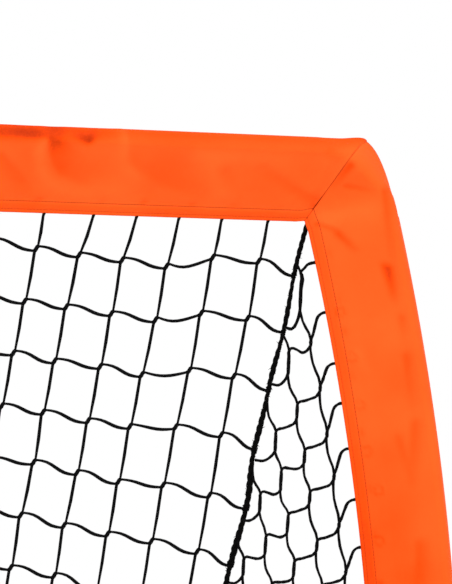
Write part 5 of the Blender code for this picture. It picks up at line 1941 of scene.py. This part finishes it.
# %% Screws
SEAT = 0.0149  # from a socket's middle to under the screw's head
SCREW_PLACES = {
    "rear_side": ((HUB_X + SEAT, REAR_Y - 0.037, TUBE_Z), (1, 0, 0)),
    "rear_back": ((HUB_X - 0.037, REAR_Y + SEAT, TUBE_Z), (0, 1, 0)),
    "front_side": ((HUB_X + SEAT, -0.2227, TUBE_Z), (1, 0, 0)),
}
screw = spun([(0, -0.4), (3.3, -0.4), (3.3, 0.1), (2.7, 0.9), (1.6, 1.3), (0, 1.4)], 32)
for low, high in (((-0.0018, -0.0003), (0.0018, 0.0003)), ((-0.0003, -0.0018), (0.0003, 0.0018))):
    combine(screw, block((*low, 0.0004), (*high, 0.003)), "DIFFERENCE")
soften(screw, 0.0001)
for label, (place, way) in SCREW_PLACES.items():
    both_sides(put(twin_of(screw), place, way, 0.4), f"screw_{label}", zinc)
bpy.data.objects.remove(screw)
print(2 * len(SCREW_PLACES), "screws")

# %% [markdown]
# ## Straps
# Each strap is a closed loop of webbing. It goes round the tube, its two layers meet and are sewn together,
# and then it goes round the cord at the foot of the net. The loop is one line bent round two circles. The
# sheet that follows it gets the strap's own UV map before its thickness. The stitches are short threads
# that lie on both faces.

# %% Straps
STRAP_HALF = 0.011
WEBBING_THICKNESS = 0.00075
TUBE_TURN = 0.0134  # from the middle of the tube to the middle of the webbing
CORD_TURN = CORD_RADIUS + 0.0006
SEWN = 0.0004  # half the distance between the two layers where they are sewn
STITCHES = 7
STITCH_BEND = ((0.8, 0.0), (1.05, 0.0011), (0.8, 0.0022))  # how far out and how far along
SIDE_STRAP_TURN = math.radians(30)  # the side straps lean up from the floor by this


def side_tab(side):
    """The way from a side tube to the cord at the side net's foot."""
    return (-side * math.cos(SIDE_STRAP_TURN), 0, math.sin(SIDE_STRAP_TURN))


def strap_line(cord_at):
    """The loop as pairs: how far towards the cord, and across that."""
    round_tube = arc(TUBE_TURN, 0.55, 2 * math.pi - 0.55, 30)
    round_cord = arc(CORD_TURN, -2.3, 2.3, 10, (cord_at, 0.0))
    one_layer = [(0.0172, -SEWN), (0.0195, -SEWN), (cord_at - 0.0045, -SEWN)]
    other_layer = [(u, -v) for u, v in reversed(one_layer)]
    return smooth_line([*round_tube, *one_layer, *round_cord, *other_layer, round_tube[0]], 2)


def strap_stitches(cord_at, along, place_of):
    """Two rows of stitches on both faces. place_of turns a way to the cord, up and along into a place."""
    threads = Strands(5)
    for u in (0.0186, cord_at - 0.0058):
        for v in (-0.00082, 0.00082):
            for i in range(STITCHES):
                start = -STRAP_HALF + 0.0016 + i * 0.0028
                line = [place_of(u, v * bend, start + reach) for bend, reach in STITCH_BEND]
                threads.lay(line, (0.0002, 0.00028, 0.0002), along)
    return threads


def lay_strap(name, centre, along, tab, cord_at):
    centre, along, tab = np.array(centre), np.array(along, float), np.array(tab)
    up = np.cross(along, tab)
    loop = strap_line(cord_at)
    widths = np.linspace(-STRAP_HALF, STRAP_HALF, 5)
    places = centre + loop[:, 0, None] * tab + loop[:, 1, None] * up
    strap = grid_piece(f"webbing_{name}", np.array([places + width * along for width in widths]))
    lay_map(strap, "strap", *np.meshgrid(widths, lengths_along(loop), indexing="ij"))
    open_mesh(strap)
    close_mesh()
    apply_modifier(strap, "SOLIDIFY", thickness=WEBBING_THICKNESS, offset=0)
    strap.data.materials.append(webbing)
    pick(strap)
    bpy.ops.object.shade_smooth_by_angle(angle=math.radians(40))

    def place_of(u, v, x):
        return centre + u * tab + v * up + x * along

    threads = strap_stitches(cord_at, tab, place_of).make(f"threads_{name}", webbing, "strap")
    pick(strap)
    threads.select_set(True)
    bpy.ops.object.join()
    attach(strap, "ground_frame")
    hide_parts(name)


print("a strap has", 4 * STITCHES, "stitches")


# %% Twelve straps
REAR_CORD_AT = (Vector((0, NET_FOOT.y, NET_FOOT.z)) - Vector((0, REAR_Y, TUBE_Z))).length
SIDE_CORD_AT = math.hypot(HUB_X - SIDE_FOOT.x, SIDE_FOOT.z - TUBE_Z)
REAR_STRAP_REACH = 0.7341658  # of the outermost ones
SIDE_STRAP_PLACES = (-0.1607, 0.01515, 0.191)

for i in range(6):
    x = REAR_STRAP_REACH * (2 * i / 5 - 1)
    lay_strap(f"rear_strap_{i + 1}", (x, REAR_Y, TUBE_Z), (1, 0, 0), -SLOPE, REAR_CORD_AT)
for name, side in SIDES.items():
    for i, y in enumerate(SIDE_STRAP_PLACES):
        centre = (side * HUB_X, y, TUBE_Z)
        lay_strap(f"{name}_strap_{i + 1}", centre, (0, 1, 0), side_tab(side), SIDE_CORD_AT)
print("twelve straps, the rear ones to a cord", round(REAR_CORD_AT * 1000, 1), "mm from the tube's middle")

# %% [markdown]
# ## Lashings
# At the back, the foot of each edge rope is tied down to its corner with four turns of twine, and the
# rope's end is whipped so that it doesn't fray. At the front, the cord at the side net's foot is tied to
# the hinge's socket in the same way. A turn is the belt round two circles: one round the socket, one round
# what is tied to it.

# %% Lashings
LASHING = 0.0014  # radius of the twine
SOCKET_TURN = 0.0165
LASHING_PITCH, WHIPPING_PITCH = 0.0031, 0.0027
FRONT_LASHING_Y = -0.2455


def lashing(strands, centre, along, tab, hold_at, hold_turn, squeeze):
    """Four turns round a socket and round what lies at a distance from its middle."""
    along, tab = Vector(along), Vector(tab)
    up = along.cross(tab)
    line = []
    for angle in np.linspace(0.9 * math.pi, 8.9 * math.pi, 150).tolist():
        near = math.cos(angle) <= (SOCKET_TURN - hold_turn) / hold_at
        start, radius = (0.0, SOCKET_TURN) if near else (hold_at, hold_turn)
        spread = (angle / (2 * math.pi) - 2.45) * LASHING_PITCH * (1.0 if near else squeeze)
        u = start + radius * math.cos(angle)
        line.append(tuple(Vector(centre) + u * tab + radius * math.sin(angle) * up + spread * along))
    strands.lay(smooth_line(line, 2), LASHING, tuple(along))


def whipping(strands, centre, way, radius, start, end):
    """Twine wound round a rope from start to end along its way."""
    way = Vector(way)
    first = way.orthogonal().normalized()
    second = way.cross(first)
    line = []
    for share in np.linspace(0, 1, round((end - start) / WHIPPING_PITCH) * 12).tolist():
        angle = share * (end - start) / WHIPPING_PITCH * 2 * math.pi
        out = math.cos(angle) * first + math.sin(angle) * second
        line.append(tuple(Vector(centre) + (start + share * (end - start)) * way + radius * out))
    strands.lay(line, LASHING * 0.9, tuple(way))


for name, side in SIDES.items():
    ties = Strands()
    rope_foot = Vector((side * ROPE_FOOT.x, *ROPE_FOOT.yz))
    rope_way = (Vector((side * HEM_CORNER.x, *HEM_CORNER.yz)) - rope_foot).normalized()
    lashing(ties, (rope_foot.x, REAR_Y, TUBE_Z), (1, 0, 0), -SLOPE, REAR_CORD_AT + 0.006, 0.002, 0.45)
    whipping(ties, rope_foot, rope_way, 0.0046, -0.001, 0.016)
    socket_middle = (side * HUB_X, FRONT_LASHING_Y, TUBE_Z)
    lashing(ties, socket_middle, (0, 1, 0), side_tab(side), SIDE_CORD_AT, CORD_RADIUS + LASHING, 0.9)
    tied = ties.make(f"lashings_{name}", black_twine)
    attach(tied, "ground_frame")

# %% [markdown]
# ## What stays as it is
# The poles, the bent corners, the inner sleeves and the elastic cords lie inside other pieces, and their
# solids are right as they are. They only get finer finishes.

# %% Finishes of the hidden parts
KEPT = (
    (level_glass, ("crossbar_left", "crossbar_right")),
    (upright_glass, ("post_upper_left", "post_upper_right", "post_lower_left", "post_lower_right")),
    (powder_coat, ("top_corner_left", "top_corner_right")),
    (zinc, ("crossbar_ferrule", "post_ferrule_left", "post_ferrule_right", "rear_ferrule")),
    (elastic, ("crossbar_cord", "post_cord_left", "post_cord_right")),
)
for finish, nodes in KEPT:
    for node in nodes:
        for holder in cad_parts[node].material_slots:
            holder.material = finish
print(sum(len(nodes) for _, nodes in KEPT), "solids keep their shape")

# %% Size of the dressed goal
low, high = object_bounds()
print("dressed goal reaches from", [round(x, 3) for x in low], "to", [round(x, 3) for x in high])
